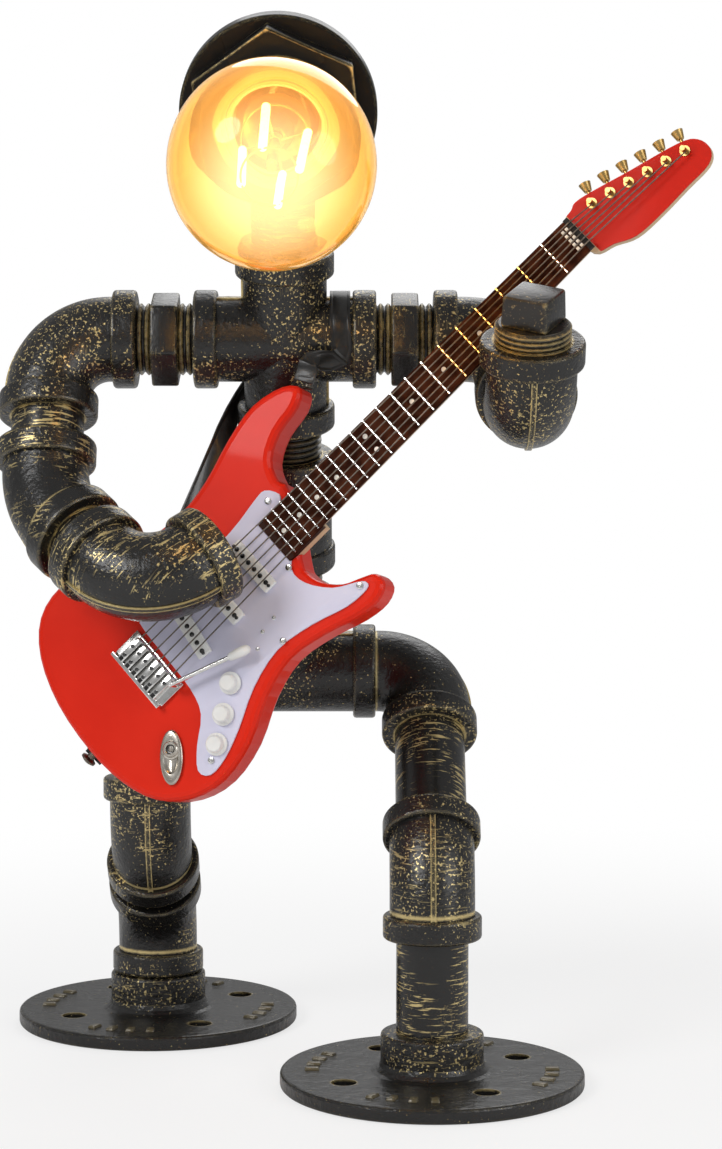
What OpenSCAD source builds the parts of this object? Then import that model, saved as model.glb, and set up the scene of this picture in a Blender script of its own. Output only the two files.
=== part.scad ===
// Steampunk table lamp: a figure of half-inch pipe fittings plays a small electric guitar,
// and a globe bulb in a round hat is its face.
// Frame: +Z up, the viewer stands at -Y, origin under the centre of the front foot flange.

/* [Pipe fittings] */
// Outside diameter of the pipe
pipe_od = 21.3; // [20:0.1:22]
// Bore of the pipe
pipe_bore = 15.8; // [13:0.1:17]
// Outside diameter of a fitting between its bands
body_od = 25.2; // [24.5:0.1:27]
// Outside diameter of the band round each mouth
band_od = 29.2; // [28:0.1:31]
// Length of a band
band_len = 7; // [5:0.5:8]
// Rounding of a band's rim
band_round = 1; // [0.4:0.1:1.4]
// Centre to mouth of a right-angle elbow
elbow_reach = 25.5; // [24:0.5:29]
// Centre to mouth of a 45 degree elbow
bend_reach = 19; // [18:0.5:22]
// Centre to mouth of the tee and the cross
tee_reach = 27; // [26:0.5:30]
// Length of pipe screwed into each mouth
grip_len = 9.5; // [7:0.5:10]
// Length of the torso coupling
coupling_len = 36; // [30:1:44]
// Across the flats of the hexagon nipples
nipple_af = 24.8; // [23.5:0.1:27]
// Length of the hexagon on a hexagon nipple
nipple_hex_len = 8; // [5:0.5:11]
// Height of the casting seam
seam_h = 0.5; // [0.3:0.1:0.8]
// Width of the casting seam
seam_w = 1.6; // [1:0.1:2.4]

/* [Stance] */
// Hip centre to each leg, sideways
leg_spread = 43.5; // [41:0.5:50]
// Height of the hip tee's centre
hip_h = 117; // [112:1:130]
// Forward lean of the torso, in degrees
torso_lean = 18; // [14:1:20]
// Bare length of the slanting thigh nipple
thigh_gap = 32; // [24:1:36]
// Bare length of the nipple between the two rear elbows
rear_gap = 4; // [3:0.5:6]
// Bare length of the nipple under the coupling
waist_gap = 9; // [5:0.5:12]
// Bare length of the nipple above the coupling
chest_gap = 9; // [5:0.5:12]

/* [Feet] */
// Diameter of a floor flange
flange_d = 90; // [80:1:100]
// Thickness of a floor flange's plate
flange_t = 4.5; // [3.5:0.5:7]
// Diameter of a flange's collar
collar_od = 30.5; // [29:0.5:36]
// Height of the collar's top above the floor
collar_h = 16; // [14:0.5:18]
// Circle through the screw holes
bolt_circle_d = 60; // [54:1:66]
// Diameter of a screw hole
bolt_hole_d = 7.5; // [5:0.5:9]
// Turn of the hole pattern, in degrees
bolt_turn = 30; // [0:1:45]

/* [Arms] */
// Bare length of a shoulder's hexagon nipple
shoulder_gap = 17; // [14:0.5:20]
// Forward swing of the right upper arm, in degrees
right_arm_swing = 25; // [15:1:30]
// Turn of the right elbow about the upper arm, in degrees
right_elbow_turn = 29; // [20:1:40]
// Turn of the right hand about the forearm, in degrees
right_hand_turn = -33; // [-45:1:-25]
// Bare length of the right upper arm's nipple
upper_arm_gap = 8.5; // [6:0.5:12]
// Bare length of the right forearm's nipple
right_forearm_gap = 4.5; // [3:0.5:8]
// Drop of the left forearm below level, in degrees
left_arm_drop = 24; // [20:1:30]
// Bare length of the left forearm's nipple
left_forearm_gap = 9; // [7:0.5:14]
// Side of the plug's square head
plug_side = 13.8; // [12:0.2:16]
// Height of the plug's square head
plug_head_h = 8.5; // [6:0.5:12]
// Thread left showing under the plug's head
plug_thread = 5.5; // [3:0.5:8]
// Turn of the square head, in degrees
plug_turn = 62; // [0:1:90]

/* [Head] */
// Bare length of the neck nipple
neck_gap = 25; // [20:0.5:30]
// Bare length of the nipple behind the hat
head_gap = 2.5; // [1:0.5:5]
// Diameter of the round hat
hat_d = 54; // [50:0.5:60]
// Length of the hat along its axis
hat_len = 17; // [16:0.5:20]
// Across the flats of the hexagon bushing
hat_hex_af = 43.6; // [42:0.2:46]
// Thickness of the hexagon bushing
hat_hex_t = 7; // [5:0.5:9]
// Outside diameter of the lamp holder
socket_od = 34; // [33:0.5:36]
// How far the lamp holder stands out of the bushing
socket_out = 8; // [5:0.5:10]
// Diameter of the bulb's globe
bulb_d = 52; // [48:0.5:56]
// Glass neck, from the cap to the globe's centre
bulb_neck = 40; // [36:0.5:46]
// Thickness of the bulb's glass
glass_t = 0.9; // [0.6:0.1:1.4]
// Outside diameter of the bulb's screw cap
cap_d = 26.4; // [25.8:0.1:26.8]
// Length of the bulb's screw cap
cap_len = 22; // [20:0.5:23]
// Length of an LED filament
filament_len = 26; // [20:0.5:28]

/* [Guitar] */
// Nut's place to the right of the hip
nut_right = 84; // [80:0.5:88]
// Nut's place in front of the hip
nut_front = 79; // [77:0.5:84]
// Nut's height above the hip
nut_up = 131; // [128:0.5:136]
// Turn of the face to the viewer's left, in degrees
guitar_yaw = 20; // [16:1:24]
// Tilt of the face upward, in degrees
guitar_tilt = 10; // [6:1:14]
// Rise of the neck, in degrees
neck_rise = 45.8; // [43:0.2:48]
// Thickness of the body
guitar_t = 12; // [10:0.5:14]
// Rounding of the body's edge
guitar_round = 2.2; // [1:0.1:3]
// String length from nut to bridge
scale_len = 171; // [166:0.5:172]
// Length of the fingerboard
board_len = 121.5; // [121:0.5:124]
// Width of the fingerboard at the nut
board_w_nut = 11.5; // [10:0.1:12]
// Width of the fingerboard at its body end
board_w_end = 14.3; // [13.5:0.1:14.8]
// Thickness of the fingerboard
board_t = 1.4; // [1:0.1:2]
// Height of the fingerboard's underside above the body
board_lift = 1; // [0.5:0.1:1.6]
// Depth of the neck's wood below the body's face
neck_depth = 4.5; // [3.5:0.1:5.5]
// Thickness of the headstock
headstock_t = 3; // [2.4:0.1:4]
// Thickness of the pickguard
guard_t = 0.8; // [0.5:0.1:1.2]
// Diameter of a control knob
knob_d = 6.6; // [5:0.2:7]
// Height of a control knob
knob_h = 3; // [2:0.1:3.4]
// Diameter of a string
string_d = 0.4; // [0.3:0.05:0.6]
// Distance between neighbouring strings
string_pitch = 1.6; // [1.3:0.05:1.7]
// Width of the strap
strap_w = 6; // [4:0.5:6.5]
// Thickness of the strap
strap_t = 0.9; // [0.6:0.1:1.4]

/* [Hidden] */
$fn = 64;

// Clearance of a screwed or turning fit, on the radius
fit_clear = 0.05;
// Gap left where an end or a face seats
seat_gap = 0.3;
// Spare length that makes a cut pass right through
cut = 1;

// Moves and turns as matrices, so that each piece takes its place from the piece before it
function shift(v) = [[1, 0, 0, v.x], [0, 1, 0, v.y], [0, 0, 1, v.z], [0, 0, 0, 1]];
function along(d) = shift([0, 0, d]);
function turn_x(a) = [[1, 0, 0, 0], [0, cos(a), -sin(a), 0], [0, sin(a), cos(a), 0], [0, 0, 0, 1]];
function turn_y(a) = [[cos(a), 0, sin(a), 0], [0, 1, 0, 0], [-sin(a), 0, cos(a), 0], [0, 0, 0, 1]];
function turn_z(a) = [[cos(a), -sin(a), 0, 0], [sin(a), cos(a), 0, 0], [0, 0, 1, 0], [0, 0, 0, 1]];
function place(m, p) = [for (i = [0:2]) m[i] * [p.x, p.y, p.z, 1]];
function unit(v) = v / norm(v);

// Radii of the fittings
pipe_r = pipe_od / 2;
bore_r = pipe_bore / 2;
body_r = body_od / 2;
band_r = band_od / 2;
socket_r = pipe_r + fit_clear;
socket_deep = grip_len + seat_gap;
elbow_bend = elbow_reach - band_len - band_round;
bend_bend = (bend_reach - band_len - band_round) / tan(22.5);
street_reach = leg_spread - tee_reach;
street_bend = street_reach - 1;

// A mouth's frame has its origin in the mouth's face and +Z pointing out of it
function bend_out(reach_in, reach_out, angle) = along(reach_in) * turn_y(angle) * along(reach_out);
elbow_out = bend_out(elbow_reach, elbow_reach, 90);
knee_out = bend_out(bend_reach, bend_reach, 45);
street_out = bend_out(street_reach, elbow_reach, 90);

// Legs
thigh_len = elbow_reach + thigh_gap + bend_reach;
hip = [-leg_spread, thigh_len * sin(45), hip_h];
tee_right = shift(hip) * turn_y(-90) * along(tee_reach);
tee_left = shift(hip) * turn_y(90) * along(tee_reach);
front_hip_in = tee_left * turn_z(-45);
front_thigh_in = front_hip_in * street_out;
front_knee_in = front_thigh_in * along(thigh_gap) * turn_z(90);
front_shin_in = front_knee_in * knee_out;
shin_gap = hip_h - thigh_len * cos(45) - bend_reach - collar_h;
rear_drop = (2 * bend_reach + rear_gap) * sin(45);
rear_foot = [hip.x - leg_spread, hip.y + rear_drop, 0];
rear_thigh_gap = hip_h - elbow_reach - 2 * bend_reach - rear_drop - collar_h - seat_gap;
rear_hip_in = tee_right * turn_z(180);
rear_thigh_in = rear_hip_in * street_out;
rear_upper_in = rear_thigh_in * along(rear_thigh_gap) * turn_z(-90);
rear_close_in = rear_upper_in * knee_out;
rear_lower_in = rear_close_in * along(rear_gap) * turn_z(180);
rear_ankle_in = rear_lower_in * knee_out;

// Torso, shoulders and neck
torso = shift(hip) * turn_x(torso_lean);
waist_in = torso * along(tee_reach);
coupling_in = waist_in * along(waist_gap);
chest_in = coupling_in * along(coupling_len);
torso_len = 2 * tee_reach + waist_gap + coupling_len + chest_gap;
cross_mid = torso * along(torso_len);
right_shoulder_in = cross_mid * turn_y(-90) * along(tee_reach);
left_shoulder_in = cross_mid * turn_y(90) * along(tee_reach);
neck_in = cross_mid * along(tee_reach);

// Right arm
right_elbow_1_in = right_shoulder_in * along(shoulder_gap) * turn_z(180 + right_arm_swing + torso_lean);
right_upper_in = right_elbow_1_in * elbow_out;
right_elbow_2_in = right_upper_in * along(upper_arm_gap) * turn_z(right_elbow_turn);
right_forearm_in = right_elbow_2_in * knee_out;
right_hand_in = right_forearm_in * along(right_forearm_gap) * turn_z(right_hand_turn);

// Left arm
left_elbow_1_in = left_shoulder_in * along(shoulder_gap) * turn_z(left_arm_drop - torso_lean - 90);
left_forearm_in = left_elbow_1_in * elbow_out;
left_hand_in = left_forearm_in * along(left_forearm_gap) * turn_z(-90);
left_plug_in = left_hand_in * elbow_out;

// Head: the hat's frame has its origin in the back of the hat and +Z towards the bulb
head_elbow_in = neck_in * along(neck_gap) * turn_z(-90);
head_out = head_elbow_in * elbow_out;
hat = head_out * along(head_gap);
hat_face = hat_len + hat_hex_t;
hat_wall = 8;
hat_rim_len = 6;
hex_plug_r = socket_od / 2 + 4;
socket_back = hat_wall + seat_gap;
socket_front = hat_face + socket_out;
shell_od = cap_d + 3;
cap_front = socket_front + seat_gap;
globe_mid = cap_front + bulb_neck;

// Guitar frame: origin at the nut, in the plane of the body's face; +X to the headstock,
// +Y to the upper horn, +Z out of the face
nut_place = hip + [nut_right, -nut_front, nut_up];
guitar = shift(nut_place) * turn_z(-guitar_yaw) * turn_x(90 - guitar_tilt) * turn_z(neck_rise);
board_top = board_lift + board_t;
nut_top = board_top + 0.7;
bridge_x = -scale_len;
bridge_back = 0.2;
bridge_w = 22;
bridge_l = 10.2;
saddle_top = guard_t + 3.2;
fret_count = 21;
pocket_clear = 0.2;
heel_x = -board_len - 2;
body_mid_z = -guitar_t / 2;

// Body outline: upper cutaway, upper horn, waist, tail, waist, lower horn, lower cutaway
body_points = [
    [-110.6, 8.4], [-111, 13.5], [-108.4, 19.4], [-101.4, 23.4], [-92.5, 25], [-88, 28.5],
    [-91.5, 33], [-102, 35.5], [-114, 33.5], [-127, 29.5], [-139, 28], [-152, 30],
    [-167, 35.5], [-181, 39], [-192, 36.5], [-200, 27.5], [-205, 13], [-206.5, -4],
    [-205, -18], [-200.5, -29], [-192, -36.5], [-181, -39.5], [-168, -37], [-155, -30.5],
    [-143, -27.5], [-131, -29.5], [-120, -33], [-112.5, -33.8], [-107.8, -31.6], [-107.8, -27.4],
    [-112, -25], [-117, -22.6], [-121, -18], [-122.5, -13], [-121, -8.5]
];
// Pickguard outline; the neck cuts its notch
guard_points = [
    [-113, 9.6], [-115.5, 13.5], [-120, 13.5], [-131, 12], [-150, 12], [-167, 12.5], [-169.5, 11],
    [-170, 0], [-170.5, -13], [-173, -21], [-180, -27], [-184.5, -32.5], [-182.5, -36], [-176, -35.5],
    [-167, -32], [-156, -26.5], [-143.5, -23.5], [-131, -25.5], [-120, -29], [-112.5, -29.5],
    [-111, -28], [-113, -26], [-119.5, -22], [-124.5, -15], [-124.8, -9], [-119, -4], [-117, 3],
    [-114.6, 7]
];
// Headstock outline: a plain blade, straighter along the peg side
headstock_points = [
    [-1, 5.6], [3, 7.4], [7, 8], [22, 3.4], [37, -1.2], [41.5, -4.5], [42, -9],
    [38.5, -11.8], [30, -12], [20, -12.2], [11, -11.6], [5, -8.6], [-1, -5.6]
];
// First tuning peg, step from peg to peg, and slant of the row
head_drop = 1.2;
peg_first = [8.5, 4.4];
peg_step = 5.9;
peg_slant = -17;
// Places of the controls and hardware on the face
knob_places = [[-160.2, -20.8], [-167.8, -26], [-175, -31]];
// Pickups: share of the way from the board's end to the bridge, offset and turn
pickup_rows = [[0.226, -0.5, 0], [0.495, -0.5, 0], [0.758, -1, -9]];
pickup_places = [for (p = pickup_rows) [-board_len - p.x * (scale_len - board_len), p.y, p.z]];
jack_place = [-188, -24];
upper_button = [-87.45, 28.6];
tail_button = [-206.5, -4];

// A closed smooth curve through points, k steps from each to the next
function spline(p, k) = [
    for (i = [0:len(p) - 1], j = [0:k - 1])
        let (n = len(p), a = p[(i + n - 1) % n], b = p[i], c = p[(i + 1) % n], d = p[(i + 2) % n], t = j / k)
            b + (c - a) * t / 2 + (2 * a - 5 * b + 4 * c - d) * t * t / 2
                + (3 * b - a - 3 * c + d) * t * t * t / 2
];
// An open smooth curve through points
function run(p, k) = [
    for (i = [0:len(p) - 2], j = [0:(i == len(p) - 2 ? k : k - 1)])
        let (a = p[max(i - 1, 0)], b = p[i], c = p[i + 1], d = p[min(i + 2, len(p) - 1)], t = j / k)
            b + (c - a) * t / 2 + (2 * a - 5 * b + 4 * c - d) * t * t / 2
                + (3 * b - a - 3 * c + d) * t * t * t / 2
];
// A closed curve drawn in by d along its own normals
function inset(p, d) = [
    for (i = [0:len(p) - 1])
        let (n = len(p), t = unit(p[(i + 1) % n] - p[(i + n - 1) % n])) p[i] + d * [-t.y, t.x]
];

// Triangles that fill a flat closed curve, cut off one ear after another
function turn_of(a, b, c) = (b.x - a.x) * (c.y - a.y) - (b.y - a.y) * (c.x - a.x);
function holds(q, a, b, c) = turn_of(a, b, q) > 0 && turn_of(b, c, q) > 0 && turn_of(c, a, q) > 0;
function corner(left, k) = let (n = len(left)) [left[(k + n - 1) % n], left[k], left[(k + 1) % n]];
function is_ear(p, c) =
    turn_of(p[c[0]], p[c[1]], p[c[2]]) > 0
    && len([for (q = p) if (holds(q, p[c[0]], p[c[1]], p[c[2]])) q]) == 0;
function first_ear(p, left, k = 0) = is_ear(p, corner(left, k)) ? k : first_ear(p, left, k + 1);
function ears(p, left) =
    len(left) == 3 ? [left] :
    let (k = first_ear(p, left))
        concat([corner(left, k)], ears(p, [for (i = [0:len(left) - 1]) if (i != k) left[i]]));

// A skin over rings of equal count, each anticlockwise as seen from the last ring's side;
// the end faces are one face each, or the given triangles where the ring isn't convex
module loft(rings, cap = []) {
    n = len(rings[0]);
    top = (len(rings) - 1) * n;
    sides = [
        for (j = [0:len(rings) - 2], i = [0:n - 1], half = [0, 1])
            let (a = j * n + i, b = j * n + (i + 1) % n)
                half == 0 ? [a, a + n, b + n] : [a, b + n, b]
    ];
    ends = len(cap) > 0 ? cap : [[for (i = [0:n - 1]) i]];
    last = [for (f = ends) [for (i = [len(f) - 1:-1:0]) top + f[i]]];
    polyhedron([for (r = rings, q = r) q], concat(sides, ends, last));
}

// Fittings
// Points of a rounded rim, from angle a to angle b about a centre
function rim(c, r, a, b) = [for (k = [0:3]) let (t = a + (b - a) * k / 3) c + r * [cos(t), sin(t)]];

module band(r = band_r, length = band_len) {
    low = rim([r - band_round, band_round], band_round, -90, 0);
    high = rim([r - band_round, length - band_round], band_round, 0, 90);
    rotate_extrude()
        polygon(concat([[0, 0]], low, high, [[0, length]]));
}

module bent_rod(r, reach_in, reach_out, angle, bend) {
    t = bend * tan(angle / 2);
    cylinder(r = r, h = reach_in - t);
    translate([bend, 0, reach_in - t])
        rotate([90, 0, 180])
            rotate_extrude(angle = angle)
                translate([bend, 0])
                    circle(r = r);
    multmatrix(bend_out(reach_in, t, angle))
        cylinder(r = r, h = reach_out - t);
}

module bent_seam(reach_in, reach_out, angle, bend) {
    t = bend * tan(angle / 2);
    translate([-body_r - seam_h, -seam_w / 2, 0])
        cube([2 * seam_h, seam_w, reach_in - t]);
    translate([bend, 0, reach_in - t])
        rotate([90, 0, 180])
            rotate_extrude(angle = angle)
                translate([bend + body_r - seam_h, -seam_w / 2])
                    square([2 * seam_h, seam_w]);
    multmatrix(bend_out(reach_in, t, angle))
        translate([-body_r - seam_h, -seam_w / 2, 0])
            cube([2 * seam_h, seam_w, reach_out - t]);
}

module mouth_cut() {
    translate([0, 0, -cut])
        cylinder(r = socket_r, h = socket_deep + cut);
}

module elbow(reach, angle, bend) {
    out = bend_out(reach, reach, angle);
    difference() {
        union() {
            bent_rod(body_r, reach, reach, angle, bend);
            bent_seam(reach, reach, angle, bend);
            band();
            multmatrix(out)
                mirror([0, 0, 1])
                    band();
        }
        bent_rod(bore_r, reach, reach, angle, bend);
        mouth_cut();
        multmatrix(out)
            mirror([0, 0, 1])
                mouth_cut();
    }
}

module elbow_90() {
    elbow(elbow_reach, 90, elbow_bend);
}

module elbow_45() {
    elbow(bend_reach, 45, bend_bend);
}

// A right-angle elbow whose first end is a male thread
module street_elbow() {
    difference() {
        union() {
            translate([0, 0, -grip_len])
                cylinder(r = pipe_r, h = grip_len);
            bent_rod(body_r, street_reach, elbow_reach, 90, street_bend);
            bent_seam(street_reach, elbow_reach, 90, street_bend);
            multmatrix(street_out)
                mirror([0, 0, 1])
                    band();
        }
        translate([0, 0, -grip_len - cut])
            cylinder(r = bore_r, h = grip_len + cut);
        bent_rod(bore_r, street_reach, elbow_reach, 90, street_bend);
        multmatrix(street_out)
            mirror([0, 0, 1])
                mouth_cut();
    }
}

// Outside of one way out of a branch fitting: its banded mouth and the casting seam
module branch_mouth(r) {
    translate([0, 0, tee_reach - band_len])
        band();
    translate([-r - seam_h, -seam_w / 2, body_r / 2])
        cube([2 * seam_h, seam_w, tee_reach - body_r / 2 - band_len / 2]);
}

// Fitting with a straight run along +Z and side ways out of its middle, a little slimmer than the run
module branch_fitting(run, sides) {
    slim = 0.2;
    difference() {
        union() {
            multmatrix(run)
                cylinder(r = body_r, h = 2 * tee_reach, center = true);
            for (end = [0, 180])
                multmatrix(run * turn_x(end))
                    branch_mouth(body_r);
            for (w = sides)
                multmatrix(w) {
                    cylinder(r = body_r - slim, h = tee_reach);
                    branch_mouth(body_r - slim);
                }
        }
        multmatrix(run)
            cylinder(r = bore_r, h = 2 * tee_reach, center = true);
        for (end = [0, 180])
            multmatrix(run * turn_x(end))
                mouth_bore();
        for (w = sides)
            multmatrix(w) {
                cylinder(r = bore_r - slim, h = tee_reach);
                mouth_bore();
            }
    }
}

// Screwed bore of a branch fitting's mouth
module mouth_bore() {
    translate([0, 0, tee_reach - socket_deep])
        cylinder(r = socket_r, h = socket_deep + cut);
}

// A pipe whose middle stretch of the given length is bare; each end is screwed in
module nipple(gap, end = grip_len) {
    difference() {
        translate([0, 0, -grip_len])
            cylinder(r = pipe_r, h = grip_len + gap + end);
        translate([0, 0, -grip_len - cut])
            cylinder(r = bore_r, h = grip_len + gap + end + 2 * cut);
    }
}

module hex_nipple(gap) {
    difference() {
        union() {
            nipple(gap);
            translate([0, 0, (gap - nipple_hex_len) / 2])
                intersection() {
                    cylinder(d = nipple_af / cos(30), h = nipple_hex_len, $fn = 6);
                    band(nipple_af / cos(30) / 2, nipple_hex_len);
                }
        }
        translate([0, 0, -cut])
            cylinder(r = bore_r, h = gap + 2 * cut);
    }
}

module flange() {
    r = flange_d / 2;
    c = collar_od / 2;
    foot_round = 3;
    low = rim([r - band_round, band_round], band_round, -90, 0);
    high = rim([r - band_round, flange_t - band_round], band_round, 0, 90);
    fillet = rim([c + foot_round, flange_t + foot_round], foot_round, 270, 180);
    top = rim([c - band_round, collar_h - band_round], band_round, 0, 90);
    difference() {
        rotate_extrude()
            polygon(concat([[0, 0]], low, high, fillet, top, [[0, collar_h]]));
        translate([0, 0, collar_h - socket_deep])
            cylinder(r = socket_r, h = socket_deep + cut);
        translate([0, 0, -cut])
            cylinder(r = bore_r, h = collar_h);
        for (k = [0:3])
            rotate(bolt_turn + 90 * k)
                translate([bolt_circle_d / 2, 0, -cut])
                    cylinder(d = bolt_hole_d, h = flange_t + 2 * cut);
    }
}

// Colours
iron = "#2c2a27";
red_lacquer = "#d83226";
maple = "#e6cfa4";
rosewood = "#4a2a20";
ivory_plate = "#d3d0e0";
white_plastic = "#efeee8";
gold = "#c9a552";
nickel = "#c8c8c6";
amber = "#f0b850";

// Legs
module front_foot_flange() {
    color(iron)
        flange();
}

module rear_foot_flange() {
    color(iron)
        translate(rear_foot)
            flange();
}

module front_shin_nipple() {
    color(iron)
        multmatrix(front_shin_in)
            nipple(shin_gap);
}

module front_knee_elbow() {
    color(iron)
        multmatrix(front_knee_in)
            elbow_45();
}

module front_thigh_nipple() {
    color(iron)
        multmatrix(front_thigh_in)
            nipple(thigh_gap);
}

module front_hip_elbow() {
    color(iron)
        multmatrix(front_hip_in)
            street_elbow();
}

module hip_tee() {
    color(iron)
        multmatrix(torso)
            branch_fitting(turn_y(90), [turn_y(0)]);
}

module rear_hip_elbow() {
    color(iron)
        multmatrix(rear_hip_in)
            street_elbow();
}

module rear_thigh_nipple() {
    color(iron)
        multmatrix(rear_thigh_in)
            nipple(rear_thigh_gap);
}

module rear_upper_elbow() {
    color(iron)
        multmatrix(rear_upper_in)
            elbow_45();
}

module rear_close_nipple() {
    color(iron)
        multmatrix(rear_close_in)
            nipple(rear_gap);
}

module rear_lower_elbow() {
    color(iron)
        multmatrix(rear_lower_in)
            elbow_45();
}

module rear_ankle_nipple() {
    color(iron)
        multmatrix(rear_ankle_in)
            nipple(seat_gap);
}

// Torso
module waist_nipple() {
    color(iron)
        multmatrix(waist_in)
            nipple(waist_gap);
}

module torso_coupling() {
    color(iron)
        multmatrix(coupling_in)
            difference() {
                union() {
                    cylinder(r = (body_r + band_r) / 2, h = coupling_len);
                    band();
                    translate([0, 0, coupling_len - band_len])
                        band();
                }
                translate([0, 0, -cut])
                    cylinder(r = bore_r, h = coupling_len + 2 * cut);
                mouth_cut();
                translate([0, 0, coupling_len])
                    mirror([0, 0, 1])
                        mouth_cut();
            }
}

module chest_nipple() {
    color(iron)
        multmatrix(chest_in)
            nipple(chest_gap);
}

module shoulder_cross() {
    color(iron)
        multmatrix(cross_mid)
            branch_fitting(turn_y(90), [turn_y(0), turn_y(180)]);
}

// Right arm
module right_shoulder_nipple() {
    color(iron)
        multmatrix(right_shoulder_in)
            hex_nipple(shoulder_gap);
}

module right_shoulder_elbow() {
    color(iron)
        multmatrix(right_elbow_1_in)
            elbow_90();
}

module right_upper_arm_nipple() {
    color(iron)
        multmatrix(right_upper_in)
            nipple(upper_arm_gap);
}

module right_arm_elbow() {
    color(iron)
        multmatrix(right_elbow_2_in)
            elbow_45();
}

module right_forearm_nipple() {
    color(iron)
        multmatrix(right_forearm_in)
            nipple(right_forearm_gap);
}

module right_hand_elbow() {
    color(iron)
        multmatrix(right_hand_in)
            elbow_90();
}

// Left arm
module left_shoulder_nipple() {
    color(iron)
        multmatrix(left_shoulder_in)
            hex_nipple(shoulder_gap);
}

module left_shoulder_elbow() {
    color(iron)
        multmatrix(left_elbow_1_in)
            elbow_90();
}

module left_forearm_nipple() {
    color(iron)
        multmatrix(left_forearm_in)
            nipple(left_forearm_gap);
}

module left_hand_elbow() {
    color(iron)
        multmatrix(left_hand_in)
            elbow_90();
}

module left_hand_plug() {
    head_r = plug_side * 0.69;
    color(iron)
        multmatrix(left_plug_in) {
            translate([0, 0, -grip_len])
                cylinder(r = pipe_r, h = grip_len + plug_thread);
            translate([0, 0, plug_thread])
                intersection() {
                    rotate(plug_turn)
                        translate([-plug_side / 2, -plug_side / 2, 0])
                            cube([plug_side, plug_side, plug_head_h]);
                    band(head_r, plug_head_h);
                }
        }
}

// Head
module neck_nipple() {
    color(iron)
        multmatrix(neck_in)
            nipple(neck_gap);
}

module head_elbow() {
    color(iron)
        multmatrix(head_elbow_in)
            elbow_90();
}

module head_nipple() {
    color(iron)
        multmatrix(head_out)
            nipple(head_gap, hat_wall - seat_gap);
}

module hat_reducer() {
    r = hat_d / 2;
    flare = 4;
    low = rim([band_r - band_round, band_round], band_round, -90, 0);
    turn = rim([r - flare, hat_len - hat_rim_len], flare, -70, 0);
    front = rim([r - band_round, hat_len - band_round], band_round, 0, 90);
    color(iron)
        multmatrix(hat)
            difference() {
                rotate_extrude()
                    polygon(concat([[0, 0]], low, [[band_r, band_len / 2]], turn, front, [[0, hat_len]]));
                translate([0, 0, -cut])
                    cylinder(r = socket_r, h = hat_wall + 2 * cut);
                translate([0, 0, hat_wall])
                    cylinder(r = hex_plug_r + fit_clear, h = hat_len);
            }
}

module hat_hex_bushing() {
    corner_r = hat_hex_af / cos(30) / 2;
    hex_lean = 6;
    color(iron)
        multmatrix(hat)
            difference() {
                union() {
                    translate([0, 0, hat_wall + seat_gap])
                        cylinder(r = hex_plug_r, h = hat_len - hat_wall - seat_gap);
                    translate([0, 0, hat_len])
                        rotate(hex_lean)
                            cylinder(r = corner_r, h = hat_hex_t, $fn = 6);
                }
                cylinder(r = socket_od / 2 + fit_clear, h = hat_face + cut);
            }
}

floor_t = 1.2;
contact_t = 0.5;

module lamp_socket() {
    color("#26221f")
        multmatrix(hat)
            difference() {
                translate([0, 0, socket_back])
                    cylinder(d = socket_od, h = socket_front - socket_back);
                translate([0, 0, socket_back + floor_t])
                    cylinder(d = shell_od + 2 * fit_clear, h = socket_front);
                cylinder(r = lead_r + fit_clear, h = socket_front);
            }
}

module socket_shell() {
    color(nickel)
        multmatrix(hat)
            translate([0, 0, socket_back + floor_t])
                difference() {
                    cylinder(d = shell_od, h = socket_front - socket_back - 2 * floor_t);
                    translate([0, 0, -cut])
                        cylinder(r = cap_d / 2 + seat_gap, h = socket_front);
                }
}

module socket_contact() {
    color(gold)
        multmatrix(hat)
            translate([0, 0, socket_back + floor_t])
                cylinder(r = 6, h = contact_t);
}

// Bulb
cap_back = cap_front - cap_len;
neck_r = cap_d / 2 - 1.3;
glass_foot = cap_front - 6;

module bulb_cap() {
    wall = 0.8;
    r = cap_d / 2;
    color(nickel)
        multmatrix(hat)
            translate([0, 0, cap_back])
                rotate_extrude()
                    polygon([
                        [0, 0], [4, 0], [5, 1], [9, 2.5], [r, 6], [r, cap_len],
                        [r - wall, cap_len], [r - wall, 7], [0, 7]
                    ]);
}

// Bulb profile from the neck's foot to the tip, drawn in by the given amount
function bulb_curve(off) =
    let (r = bulb_d / 2 - off, join = 125, zj = globe_mid + r * cos(join), rj = r * sin(join))
        let (z0 = cap_front + 1, r0 = neck_r - off, span = zj - z0, slope = -cos(join) / sin(join))
            concat(
                [[r0, glass_foot]],
                [for (k = [0:7]) let (t = k / 8) [
                    r0 * (2 * t ^ 3 - 3 * t ^ 2 + 1) + rj * (3 * t ^ 2 - 2 * t ^ 3)
                        + slope * span * (t ^ 3 - t ^ 2),
                    z0 + span * t
                ]],
                [for (k = [0:15]) let (t = join * (1 - k / 16)) [r * sin(t), globe_mid + r * cos(t)]],
                [[0, globe_mid + r]]
            );

module bulb_glass() {
    outer = bulb_curve(0);
    inner = bulb_curve(glass_t);
    last = len(inner) - 1;
    color(amber, 0.5)
        multmatrix(hat)
            rotate_extrude()
                polygon(concat(outer, [for (k = [last:-1:0]) inner[k]]));
}

stem_foot_r = neck_r - glass_t - fit_clear;
stem_r = 1.6;
stem_top = globe_mid + 2;

module bulb_stem() {
    color("#f4e6c8", 0.6)
        multmatrix(hat)
            rotate_extrude()
                polygon([
                    [0, glass_foot], [stem_foot_r, glass_foot], [stem_foot_r - 2, cap_front],
                    [5, cap_front + 6], [3, cap_front + 12], [stem_r, cap_front + 18],
                    [stem_r, stem_top], [0, stem_top]
                ]);
}

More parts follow.
